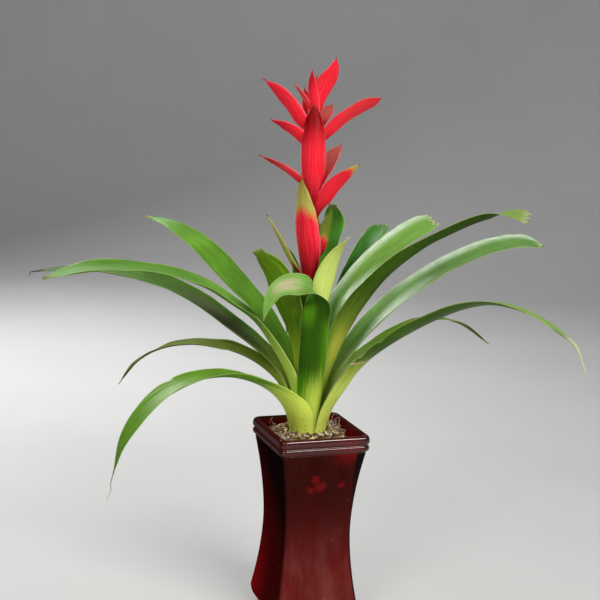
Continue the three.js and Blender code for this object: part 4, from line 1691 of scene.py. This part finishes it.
@dataclass(frozen=True)
class PottingMix:
    """Bark mix that fills the glass, heaped to the plant's foot, with loose chips, straw and grit on top.

    Attributes:
        loose: Bark chips, straw fibres and pale grit.
        corner_steps: Steps round each of its corners.
        flat_steps: Steps along each of its sides.
        rings: Rings from the wall to the hole.
        crumb: Height of the crumbs of its top, in millimetres.
        sunk: How far its top lies under the height that the loose grains are laid at.
        seed: Draws the loose grains.
    """

    loose: tuple[Grains, ...] = (Grains(620, 0.5, (0.9, 2.8), (1.3, 0.8, 0.5)),
                                 Grains(240, 0.55, (1.2, 3.8), (1.6, 0.15, 0.13)),
                                 Grains(130, 1.0, (0.5, 1.3), (1.0, 0.9, 0.75), 2))
    corner_steps: int = 8
    flat_steps: int = 22
    rings: int = 30
    crumb: float = 0.35
    sunk: float = 0.3
    seed: int = 11

    def edge(self) -> tuple[np.ndarray, np.ndarray]:
        """The mix's outline at the wall and at the plant's hole, along the same rays.

        Returns:
            Places at the wall and at the hole, n by 2 each.
        """
        inset, level = INNER_LIP[-1]
        half = np.interp(MIX_AT_WALL, [INSIDE_TOP, level], [body_half(INSIDE_TOP) - WALL, MOUTH / 2 - inset])
        pattern = square_pattern(self.corner_steps, self.flat_steps)
        rim = square_rings(np.array([[half - SEAT_GAP, 0.0]]), INNER_CORNER - SEAT_GAP, pattern)[0]
        angle = np.arctan2(rim[:, 1], rim[:, 0])
        ring = np.stack([np.cos(angle), np.sin(angle)], -1) * (CROWN_RADIUS + HOLE_GAP)
        return rim[:, :2], ring + np.array(PLANT_PLACE)

    def ground(self) -> Solid:
        """The mix itself: walls down the glass, a heaped top with seeded crumbs and the plain hole.

        Returns:
            The mix.
        """
        inside = inner_profile()[::-1]
        inside = inside[inside[:, 1] < MIX_AT_WALL - 1]
        inside[0, 1] += SEAT_GAP
        sides = square_rings(inside - np.array([SEAT_GAP, 0]), INNER_CORNER - SEAT_GAP,
                             square_pattern(self.corner_steps, self.flat_steps))
        wall, hole = self.edge()
        share = np.linspace(1, 0, self.rings)[:, None]
        x = hole[:, 0] + (wall[:, 0] - hole[:, 0]) * share
        y = hole[:, 1] + (wall[:, 1] - hole[:, 1]) * share
        crumb = self.crumb * ripple(0.12 * x + 0.05 * y, 3, 7) * ripple(0.11 * y - 0.04 * x, 4, 7)
        top = np.stack([x, y, mix_height(share, x, y) + crumb * smooth(0, 0.1, share) - self.sunk], -1)
        down = levelled(hole[None], np.array([CROWN_BOTTOM - SEAT_GAP]))
        return skin(np.concatenate([sides, top, down])).tagged(grain=(0.0, 0.0, 0.0))

    def build(self) -> None:
        """Makes the mix and its loose top as one piece and dresses it."""
        rng = np.random.default_rng(self.seed)
        parts = [self.ground(), *(grains.strewn(*self.edge(), rng) for grains in self.loose)]
        piece = Solid.joined(parts).build("potting_mix_top")
        dress(piece, GrainFinish().material("bark mix"), Slot.MIX, "potting_mix")


@dataclass(frozen=True)
class Roots:
    """Fine dry roots that stand up from the mix beside the foot.

    Attributes:
        clusters: Place, spread, height and number of each tuft, in millimetres.
        bed: Height of the mix where they start.
        lowest: Lowest height that a root keeps.
        reach: How far from the vase's middle one may lie.
        thick: Smallest and largest radius.
        curl: How far the curls stray.
        stations: Rings of each root.
        seed: Draws their curls.
    """

    clusters: tuple[tuple[float, float, float, float, int], ...] = (
        (24.0, 6.0, 6.5, 3.5, 11), (28.0, 17.0, 4.5, 9.0, 5), (24.0, 14.0, 3.0, 17.0, 2),
        (-25.0, 24.0, 4.0, 8.0, 4), (-21.0, -12.0, 6.0, 3.0, 8), (4.0, -20.0, 8.0, 2.5, 9))
    bed: float = 155.2
    lowest: float = 154.5
    reach: float = 34.0
    thick: tuple[float, float] = (0.14, 0.26)
    curl: float = 2.6
    stations: int = 40
    seed: int = 23

    def solid(self) -> Solid:
        """Thin tubes, each a start on the mix plus a reach, an arch and curls that grow along it.

        Returns:
            All roots as one solid.
        """
        rng = np.random.default_rng(self.seed)
        t = np.linspace(0, 1, self.stations)[:, None]
        strands = []
        for x, y, spread, height, count in self.clusters:
            for k in range(count):
                start = np.array([x, y, self.bed]) + rng.normal(0, spread * 0.55, 3) * np.array([1, 1, 0.1])
                reach = rng.normal(0, spread * 1.1, 3) * np.array([1, 1, 0.15])
                rise = np.array([0, 0, height * rng.uniform(0.5, 1.3)])
                arch = rise * np.sin(t * math.pi * rng.uniform(0.7, 1.0))
                curl = self.curl * curls(1.1 * t, 100 * k + count, 7) * np.minimum(t * 2, 1)
                path = start + reach * t + arch + curl
                path[:, :2] = np.clip(path[:, :2], -self.reach, self.reach)
                path[:, 2] = np.maximum(path[:, 2], self.lowest)
                strands.append(tube(path, rng.uniform(*self.thick) * (1 - 0.6 * t[:, 0]), 5))
        return Solid.joined(strands)

    def build(self) -> None:
        """Makes the roots and dresses them."""
        piece = self.solid().build("fine_roots")
        dress(piece, RootFinish("efe6d2", "b8a483").material("dry roots"), Slot.MIX)


@dataclass(frozen=True)
class Crown:
    """Short stem under the leaves, ringed where older ones stood.

    Attributes:
        sides: Points round it.
        rings: Rows of its wall.
        depth: Half the depth of its shallow rings, in millimetres.
        pitch: Radians of them to a millimetre.
        heel: Radii and heights of its foot.
        top_radii: Rings of its flat top.
    """

    sides: int = 72
    rings: int = 26
    depth: float = 0.25
    pitch: float = 2.6
    heel: tuple[tuple[float, float], ...] = ((2.0, CROWN_BOTTOM), (7.0, CROWN_BOTTOM),
                                             (CROWN_HEEL[0], CROWN_BOTTOM), (14.0, 144.0))
    top_radii: tuple[float, ...] = (15.0, 9.0, 3.0)

    def build(self) -> None:
        """Makes the crown, a turned body with shallow rings, and dresses it."""
        heights = np.linspace(CROWN_HEEL[1], CROWN_TOP, self.rings)
        wall = np.stack([CROWN_RADIUS - self.depth - self.depth * np.cos(heights * self.pitch), heights], -1)
        rows = np.vstack([self.heel, wall, [(radius, CROWN_TOP) for radius in self.top_radii]])
        angle = np.linspace(0, 2 * np.pi, self.sides, endpoint=False)
        ring = np.stack([np.cos(angle), np.sin(angle)], -1)
        flat = rows[:, 0, None, None] * ring + np.array(PLANT_PLACE)
        piece = skin(levelled(flat, rows[:, 1])).build("crown_rings")
        dress(piece, RootFinish("c9cf86", "8f9a52").material("crown"), Slot.CROWN, "crown")


@dataclass(frozen=True)
class Rosette:
    """The strap leaves.

    Attributes:
        leaves: Node name, leaf and finish of each.
        stations: Grid lines along each blade.
        columns: Grid lines across it.
    """

    leaves: tuple[tuple[str, StrapLeaf, LeafFinish], ...]
    stations: int = 190
    columns: int = 25

    def build(self) -> None:
        """Makes each leaf and dresses it."""
        for name, leaf, finish in self.leaves:
            solid = leaf.solid(self.stations, self.columns)
            solid.points = planted(solid.points, leaf.heading)
            material = finish.material(name.replace("_", " "), leaf.width, leaf.length())
            dress(solid.build(f"{name}_blade"), material, Slot.LEAF, name)


@dataclass(frozen=True)
class FlowerSpike:
    """The scape with its bracts, grown as one piece.

    Attributes:
        bracts: All bracts.
        stations: Grid lines along each bract.
        columns: Grid lines across it.
        scape_stations: Rings of the scape.
        scape_sides: Points round it.
        joint: Height of the scape's faint joints, in millimetres.
        joint_pitch: Radians of them to a millimetre.
    """

    bracts: tuple[Bract, ...]
    stations: int = 90
    columns: int = 19
    scape_stations: int = 120
    scape_sides: int = 28
    joint: float = 0.1
    joint_pitch: float = 0.5

    def scape(self) -> Solid:
        """The stem, a tapering tube with faint joints.

        Returns:
            The stem, tagged as a plain low part of a bract.
        """
        z = np.linspace(LEAF_FOOT, SCAPE_TOP, self.scape_stations)
        share = (z - LEAF_FOOT) / (SCAPE_TOP - LEAF_FOOT)
        joints = self.joint * np.sin(z * self.joint_pitch)
        radii = SCAPE_RADIUS + (SCAPE_TOP_RADIUS - SCAPE_RADIUS) * share + joints
        stem = tube(np.stack([0 * z, 0 * z, z], -1), radii, self.scape_sides)
        return stem.tagged(blade=(0.2, 0.0, 0.0), tint=(0.0, 0.0, 0.0))

    def build(self) -> None:
        """Makes the spike and dresses it."""
        parts = [self.scape()]
        for bract in self.bracts:
            part = bract.solid(self.stations, self.columns)
            part.points = turned(part.points, Axis.Z, bract.heading)
            parts.append(part.tagged(tint=(bract.green, bract.dark, bract.dull)))
        spike = Solid.joined(parts)
        spike.points = planted(turned(spike.points, Axis.Y, SPIKE_LEAN), 0.0)
        piece = spike.build("flower_spike_bracts")
        dress(piece, BractFinish().material("bracts"), Slot.BRACT, "flower_spike")


# Every strap leaf: its node, its form as in the solids, its age and its finish
LEAVES: tuple[tuple[str, StrapLeaf, LeafFinish], ...] = (
    ("leaf_low_left", StrapLeaf(
        212, 26, ((22.5, 13), (35, 29), (48, 39), (67, 46.5), (90, 50), (113, 48), (135, 40), (156, 23),
        (171, 2), (178, -21)), seed=1, wear=Wear(wisp=20, nicks=((0.565, 1, 3.4), (0.61, -1, 1.4))), turn=30,
        clasp=46, swell=5, roll=(-12, 0.3, 0.8)
    ), LeafFinish(pale=(0.11, 0.32), foot="cfe05a", upper="6a9a2a", lower="5e9012", tip="868a68", dry=0.992)),
    ("leaf_low_right", StrapLeaf(
        326, 25, ((21.9, 16), (33, 34), (47, 54.5), (64, 72), (96, 96), (122, 112), (143, 122), (164, 128),
        (186, 128), (207, 123), (224, 115), (237, 107), (247, 88)), seed=2, wear=Wear(nicks=((0.283, -1, 2.6),
        (0.31, 1, 2.5), (0.36, -1, 1.8))), turn=3, roll=(-10, 0.2, 0.5)
    ), LeafFinish(
        pale=(0.12, 0.34), foot="cfe062", upper="8cb456", lower="426a0c", tip="c8c49a", dry=0.9,
        tear=(0.283, -1.6)
    )),
    ("leaf_low_back", StrapLeaf(
        97, 25, ((19, 15), (32, 35), (56, 52), (86, 58), (116, 50), (142, 30), (158, 6)), seed=3,
        wear=Wear(wisp=5), turn=-8, clasp=36
    ), LeafFinish(tip="6d5a35")),
    # Its darker greens are a painted shade of the leaf lying in shadow.
    ("leaf_thin_left", StrapLeaf(
        149, 20, ((17, 14), (26, 31), (46, 44), (66, 51), (90, 54), (112, 54), (130, 51), (151, 45),
        (174, 34), (192, 21), (208, 0)), seed=4, wear=Wear(wave=0.9), ring=1, turn=8, roll=(-10, 0.2, 0.5)
    ), LeafFinish(upper="6c8020", lower="3a500a", tip="a8a45c", dry=0.97, gloss=0.55, shine=0.02)),
    ("leaf_short_right", StrapLeaf(
        40, 18, ((16.5, 14), (23, 30), (60, 54), (103, 72), (144, 79), (180, 71), (201, 60), (221, 47)),
        seed=5, wear=Wear(torn=5), ring=1, clasp=38
    ), LeafFinish(upper="5f8226", lower="4a6414", tip="9a9a5a", shine=0.05)),
    # The pale patch on its folded flap is a painted sheen; half of its lower face has a painted shade.
    ("leaf_folded_front", StrapLeaf(
        276, 25, ((17.7, 30), (22.6, 60), (27, 92), (30, 112), (33, 124, -5), (35, 127, -17), (38, 127, -26),
        (41, 123, -34), (43, 113, -40), (44, 98, -44)), seed=6, wear=Wear(wave=0.4), ring=1, turn=-4,
        roll=(-140, 0.52, 0.8)
    ), LeafFinish(
        pale=(0.11, 0.31), foot="bed050", upper="7cac4c", lower="508e00", flush_and_sheen="bfb48e",
        flush_and_sheen_at=(0.71, 0.91), flush_and_sheen_upper=True, half=(0.95, 1), gloss=0.42
    )),
    # Its darker greens are a painted shade of the leaf lying in shadow, and its grey patch is a painted
    # sheen.
    ("leaf_long_left_lower", StrapLeaf(
        165, 25, ((15, 18), (25, 41), (43, 59), (77, 82), (101, 97), (124, 107), (147, 113), (166, 116),
        (200, 118), (233, 115), (260, 110)), seed=7, wear=Wear(torn=4, wisp=7), ring=2, turn=5, clasp=40,
        roll=(-15, 0.1, 0.4), taper=(0.65, 2.4), tip=3
    ), LeafFinish(
        upper="4e7230", lower="2e4f0a", flush_and_sheen="62624e", flush_and_sheen_at=(0.2, 0.6), tip="4a4a34", dry=0.97,
        gloss=0.5, shine=0.03
    )),
    # Its pale streak along the upper margin is a painted sheen.
    ("leaf_long_right_lower", StrapLeaf(
        14, 26, ((15, 17), (24, 40), (38, 67), (57, 91), (78, 111), (103, 129), (129, 143), (155, 154),
        (182, 159), (206, 156)), seed=8, wear=Wear(torn=9, wave=0.6, nicks=((0.8, -1, 1.6), (0.74, -1, 1.2))),
        ring=2, clasp=40, roll=(18, 0.1, 0.4), taper=(0.88, 4), tip=12
    ), LeafFinish(
        upper="6c9a48", lower="668f2c", tip="b4c08a", dry=0.992, gloss=0.3, shine=0.3, painted_sheen=(0.4, 0.97, 1)
    )),
    ("leaf_back", StrapLeaf(
        100, 21, ((15, 17), (24, 42), (38, 66), (62, 82), (90, 84), (116, 72), (136, 50)), seed=9,
        wear=Wear(wisp=4), ring=2, turn=-10, clasp=30
    ), LeafFinish()),
    ("leaf_long_left_upper", StrapLeaf(
        196, 25, ((13, 20), (20, 45), (35, 71), (51, 92), (73, 108), (90, 119), (112, 128), (138, 134),
        (162, 136), (186, 135), (210, 130.5), (224, 127)), seed=10, wear=Wear(torn=9, wave=0.6), ring=3,
        turn=20, clasp=33, swell=1.5, roll=(-12, 0.25, 0.5), taper=(0.82, 3.2), tip=8
    ), LeafFinish(
        pale=(0.16, 0.42), foot="c2da62", upper="67993c", lower="55881c", tip="8c9a62", dry=0.985, gloss=0.5,
        shine=0.04
    )),
    ("leaf_long_right_upper", StrapLeaf(
        340, 26, ((13, 28), (20, 58), (30, 88), (46, 118), (66, 142), (90, 162), (115, 177), (139, 189),
        (161, 195), (179, 192)), seed=11, wear=Wear(torn=6, wave=0.6, twist=80), ring=3, turn=-13,
        roll=(-32, 0.1, 0.4), taper=(0.35, 1), tip=12
    ), LeafFinish(
        pale=(0.06, 0.5), foot="aac446", upper="8fae58", lower="3a5a0a", flush_and_sheen="b88a34",
        flush_and_sheen_at=(0.17, 0.36), tip="a4ae7c", dry=0.99, shine=0.06
    )),
    ("leaf_back_right", StrapLeaf(
        56, 22, ((13, 30), (20, 60), (40, 95), (62, 124), (84, 148), (100, 160), (112, 165)), seed=12,
        wear=Wear(torn=12), ring=3, clasp=24, widen=120, taper=(0.85, 4), tip=14
    ), LeafFinish(upper="4a8a34", lower="3a7822", tip="9cb088", dry=0.993, shine=0.05)),
    ("leaf_high_left", StrapLeaf(
        135, 24, ((11, 22), (20, 46), (48, 74), (71, 92), (98, 108), (125, 123), (148, 135), (176, 145),
        (199, 150), (231, 152)), seed=13, wear=Wear(wave=0.6), ring=4, turn=7, clasp=31, widen=130,
        roll=(-20, 0.3, 0.6), taper=(0.6, 2.2), tip=4
    ), LeafFinish(upper="72ab36", lower="4f8a24", shine=0.06)),
    ("leaf_inner_left", StrapLeaf(
        210, 25, ((10, 26), (13, 53), (17, 79), (23, 103), (31, 121), (40, 138), (50, 148), (56, 154)),
        seed=14, wear=Wear(torn=3, wave=1.0), ring=4, turn=36, clasp=31, roll=(40, 0.4, 0.7), taper=(0.72, 3),
        tip=10
    ), LeafFinish(pale=(0.2, 0.6), foot="b8c634", upper="668f14", lower="658c12", tip="9aa06a", dry=0.992)),
    # Its pale streak along the upper margin is a painted sheen.
    ("leaf_high_right", StrapLeaf(
        36, 23, ((10, 30), (14, 69), (26, 100), (41, 119), (61, 137), (86, 153), (107, 164), (130, 172)),
        seed=15, wear=Wear(torn=6), ring=4, turn=-10, clasp=36, roll=(30, 0.3, 0.8), taper=(0.9, 4), tip=17
    ), LeafFinish(
        upper="82b24e", lower="4f8a28", tip="b8c894", dry=0.995, gloss=0.3, shine=0.3, painted_sheen=(0.22, 0.97, 1)
    )),
    # Pale lime all over: partly the inner leaf's own pale green, partly painted light shining through it.
    ("leaf_inner_front_right", StrapLeaf(
        315, 26, ((8.7, 30), (9, 57), (10.5, 92), (13, 118), (17, 136), (25, 152), (38, 166)), seed=16,
        wear=Wear(wisp=3, wave=0.3), ring=5, turn=-8, clasp=36, widen=150, roll=(-20, 0.5, 0.8)
    ), LeafFinish(pale=(0.6, 1.3), foot="d8e87c", upper="c2da66", lower="c6dc6a", tip="d0cc94")),
    ("leaf_inner_back_left", StrapLeaf(
        130, 18, ((8.6, 30), (10, 81), (17, 114), (24, 132), (30, 142), (36, 147)), seed=17, ring=5, clasp=40,
        widen=140
    ), LeafFinish(upper="4f8a22", lower="63962c")),
    ("leaf_inner_back_right", StrapLeaf(
        60, 20, ((7, 30), (7.4, 75), (15, 119), (24, 153), (32, 172), (26, 188)), seed=18, wear=Wear(torn=2),
        ring=6, clasp=36, widen=190, taper=(0.88, 4), tip=8
    ), LeafFinish(upper="54a030", lower="4c962a")),
)

# Every bract: its form as in the solids, its age and its tints
BRACTS: tuple[Bract, ...] = (
    Bract(234, 31, ((4, 118), (8, 135), (12, 160), (14, 185), (15, 212)), seed=31, green=0.27, dark=0.0),
    Bract(195, 7, ((2, 120), (14, 137), (23, 153), (30, 166), (38, 180)), seed=32, wear=Wear(wisp=3, wave=0),
          roll=30, green=0.62, dark=0.0, dull=0.9),
    Bract(335, 15, ((2, 135), (8, 152), (12, 168), (18, 186)), seed=33, wear=Wear(wave=0.2), roll=-40,
          green=0.42, dark=0.75),
    Bract(95, 22, ((3, 125), (8, 145), (10, 170), (14, 192)), seed=34, green=0.35),
    Bract(130, 14, ((3, 175), (8, 192), (12, 206), (15, 215)), seed=35, green=0.6),
    Bract(335, 15, ((3, 176), (11, 194), (22, 208), (32, 217), (42, 225)), seed=36, wear=Wear(wave=0.3),
          roll=-50, green=0.12, dark=0.0),
    Bract(190, 8, ((2, 198), (12, 210), (26, 220), (44, 229)), seed=37, wear=Wear(wisp=4, wave=0.2), roll=45,
          dark=0.7, dull=0.3),
    Bract(15, 16, ((3, 196), (9, 212), (16, 226), (24, 239)), seed=38, wear=Wear(wave=0.3), roll=35,
          taper=(0.6, 3), dull=0.9),
    Bract(268, 25, ((4, 188), (8, 205), (11, 228), (10, 250), (5, 271)), seed=39, wear=Wear(wave=0.0),
          taper=(0.45, 4.2), dark=1.0),
    Bract(70, 20, ((3, 195), (9, 212), (12, 232), (17, 250)), seed=40, dull=0.3),
    Bract(200, 12, ((2, 230), (11, 244), (22, 252), (38, 259)), seed=41, wear=Wear(torn=2, wave=0.3), roll=45,
          dark=0.5),
    Bract(343, 12, ((3, 234), (12, 248), (24, 260), (40, 270), (56, 278)), seed=42, wear=Wear(wave=0.3),
          roll=-50, taper=(0.75, 3), dull=0.15),
    Bract(192, 14, ((3, 242), (11, 257), (20, 270), (30, 281), (41, 290)), seed=43, wear=Wear(wisp=9,
          wave=0.3), roll=50, taper=(0.55, 2.6), dark=0.15),
    Bract(40, 13, ((2, 246), (9, 259), (19, 271)), seed=44, wear=Wear(wave=0.2), roll=30, taper=(0.6, 3),
          dull=0.9),
    Bract(120, 16, ((2, 238), (8, 255), (12, 270), (18, 284)), seed=45, dull=0.2),
    Bract(185, 8, ((1, 260), (8, 275), (17, 288)), seed=46, wear=Wear(wave=0.1), roll=30, dull=0.4),
    Bract(245, 12, ((1, 256), (4, 272), (6, 286), (6, 299)), seed=47, wear=Wear(wave=0.1), dark=0.5),
    Bract(75, 11, ((1, 258), (3, 274), (4, 294)), seed=48, wear=Wear(wave=0.1), dull=0.2),
    Bract(338, 23, ((1, 255), (5, 273), (11, 288), (16, 299), (18, 309)), seed=49, wear=Wear(wisp=2,
          wave=0.2), roll=-40),
)


def spun(vector: np.ndarray, axis: np.ndarray, degrees: float) -> np.ndarray:
    """A vector turned about a unit axis, by its cosine and sine shares and what it has along the axis.

    Args:
        vector: The vector.
        axis: The axis.
        degrees: How far, by the right-hand rule.

    Returns:
        The turned vector.
    """
    c, s = math.cos(math.radians(degrees)), math.sin(math.radians(degrees))
    return vector * c + np.cross(axis, vector) * s + axis * (axis @ vector) * (1 - c)


def pose(place: np.ndarray, right: np.ndarray, up: np.ndarray, back: np.ndarray) -> Matrix:
    """The matrix of a camera or light.

    Args:
        place: Where it stands, in metres.
        right: Unit direction to its right.
        up: Unit direction up from it.
        back: Unit direction away from what it faces.

    Returns:
        The matrix, its columns those three directions and the place.
    """
    rows = np.eye(4)
    rows[:3] = np.stack([right, up, back, place], -1)
    return Matrix(rows.tolist())


@dataclass(frozen=True)
class SoftBox:
    """A studio light behind a soft sheet.

    Attributes:
        name: Its name.
        place: Where it stands, in metres.
        size: Its width and height.
        power: Watts.
        colour: Its tint.
    """

    name: str
    place: tuple[float, float, float]
    size: tuple[float, float]
    power: float
    colour: tuple[float, float, float] = (1.0, 1.0, 1.0)

    def build(self, aim: np.ndarray) -> None:
        """Hangs the light, facing a point.

        Args:
            aim: The point that it faces, in metres.
        """
        lamp = bpy.data.lights.new(self.name, "AREA")
        lamp.shape = "RECTANGLE"
        lamp.size, lamp.size_y = self.size
        lamp.energy = self.power
        lamp.color = self.colour
        away = unit(np.array(self.place) - aim)
        side = unit(np.cross([0.0, 0.0, 1.0], away))
        placed(self.name, lamp).matrix_world = pose(np.array(self.place), side, np.cross(away, side), away)


@dataclass(frozen=True)
class Sweep:
    """Pale paper floor, level in front and swept up into a wall behind, in metres.

    Attributes:
        width: How wide it is.
        front: Where it starts, in front of the vase.
        back: Where it starts to rise, behind it.
        radius: Radius of its bend.
        top: Height of its wall.
        rows: Grid lines of its level part, its bend and its wall.
        across: Grid lines over its width.
        tones: Its darker and its lighter grey.
    """

    width: float = 10.0
    front: float = -4.0
    back: float = 1.6
    radius: float = 0.9
    top: float = 4.0
    rows: tuple[int, int, int] = (20, 24, 8)
    across: int = 60
    tones: tuple[str, str] = ("bfbfbe", "c8c8c7")

    def build(self, azimuth: float) -> None:
        """Lays the paper: a grid of width and run, whose run is level, a quarter circle and upright.

        Args:
            azimuth: Degrees that it is turned, to face the camera.
        """
        level, curved, upright = self.rows
        bend = np.linspace(0, math.pi / 2, curved)
        y = np.concatenate([np.linspace(self.front, self.back, level), self.back + self.radius * np.sin(bend),
                            np.full(upright, self.back + self.radius)])
        z = np.concatenate([np.zeros(level), self.radius * (1 - np.cos(bend)),
                            np.linspace(self.radius + 0.1, self.top, upright)])
        x = np.linspace(-0.5, 0.5, self.across) * self.width
        grid = np.stack(np.broadcast_arrays(x[None, :], y[:, None], z[:, None]), -1)
        index = np.arange(grid.shape[0] * grid.shape[1]).reshape(grid.shape[:2])
        quads = np.stack([index[:-1, :-1], index[:-1, 1:], index[1:, 1:], index[1:, :-1]], -1).reshape(-1, 4)
        mesh = bpy.data.meshes.new("floor")
        mesh.from_pydata(turned(grid.reshape(-1, 3), Axis.Z, azimuth).tolist(), [], quads.tolist())
        mesh.polygons.foreach_set("use_smooth", np.ones(len(quads), bool))
        g = Graph("pale paper")
        grain = g.noise(g.place(), 6.0, 3, 0.6)
        surface = {"Base Color": g.mix(grain, *self.tones), "Roughness": 0.85}
        mesh.materials.append(g.finish(surface, grain, 0.0002, 0.2))
        piece = placed("floor", mesh)


@dataclass(frozen=True)
class Studio:
    """Pale floor that sweeps up behind, soft lights and the camera.

    Attributes:
        azimuth: Degrees that the camera stands round from straight in front.
        elevation: Degrees above the vase's lip.
        distance: Metres from the middle of the lip.
        yaw: Degrees that it is then turned about its own upright.
        pitch: Degrees about its own level side.
        roll: Degrees about its own line of sight.
        lens: Focal length in millimetres.
        sensor: Width of the picture behind the lens.
        aim: Height in metres that the lights face.
        boxes: The lights.
        sky: Colour of the light all round.
        sky_power: Its strength.
    """

    azimuth: float = -21.0
    elevation: float = 15.96
    distance: float = 1.131
    yaw: float = 0.712
    pitch: float = 5.425
    roll: float = -2.715
    lens: float = 79.25
    sensor: float = 36.0
    aim: float = 0.26
    boxes: tuple[SoftBox, ...] = (SoftBox("key", (0.5, -1.5, 1.15), (1.1, 0.35), 27.0, (1.0, 0.98, 0.95)),
                                  SoftBox("left", (-1.2, -1.1, 1.3), (0.6, 0.6), 10.0, (1.0, 0.99, 0.97)),
                                  SoftBox("back", (-0.4, 1.2, 1.05), (0.7, 0.4), 22.0))
    sky: tuple[float, float, float, float] = (0.9, 0.93, 1.0, 1.0)
    sky_power: float = 0.17

    def camera(self) -> None:
        """Sets the camera: on the lip's middle, then yawed, pitched and rolled about its own axes."""
        a, e = math.radians(self.azimuth), math.radians(self.elevation)
        away = np.array([math.sin(a) * math.cos(e), -math.cos(a) * math.cos(e), math.sin(e)])
        forward = -away
        right = unit(np.cross(forward, [0.0, 0.0, 1.0]))
        up = np.cross(right, forward)
        forward, right = spun(forward, up, self.yaw), spun(right, up, self.yaw)
        forward, up = spun(forward, right, self.pitch), spun(up, right, self.pitch)
        right, up = spun(right, forward, self.roll), spun(up, forward, self.roll)
        view = bpy.data.cameras.new("view")
        view.sensor_width = self.sensor
        view.lens = self.lens
        holder = placed("view", view)
        lip = np.array([0, 0, VASE_HEIGHT * MM])
        holder.matrix_world = pose(lip + away * self.distance, right, up, -forward)
        bpy.context.scene.camera = holder

    def surroundings(self) -> None:
        """Sets the even light all round and plain screen colours."""
        world = bpy.data.worlds.new("studio")
        world.use_nodes = True
        back = world.node_tree.nodes["Background"]
        back.inputs["Color"].default_value = self.sky
        back.inputs["Strength"].default_value = self.sky_power
        bpy.context.scene.world = world
        bpy.context.scene.view_settings.view_transform = "Standard"

    def build(self) -> None:
        """Sets the floor, the lights, the surrounding light and the camera."""
        Sweep().build(self.azimuth)
        for box in self.boxes:
            box.build(np.array([0.0, 0.0, self.aim]))
        self.surroundings()
        self.camera()


def main() -> None:
    """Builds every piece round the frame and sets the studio."""
    logging.basicConfig(level=logging.INFO, format="%(message)s")
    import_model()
    Vase().build()
    PottingMix().build()
    Roots().build()
    Crown().build()
    Rosette(LEAVES).build()
    FlowerSpike(BRACTS).build()
    Studio().build()


if __name__ == "__main__":
    main()
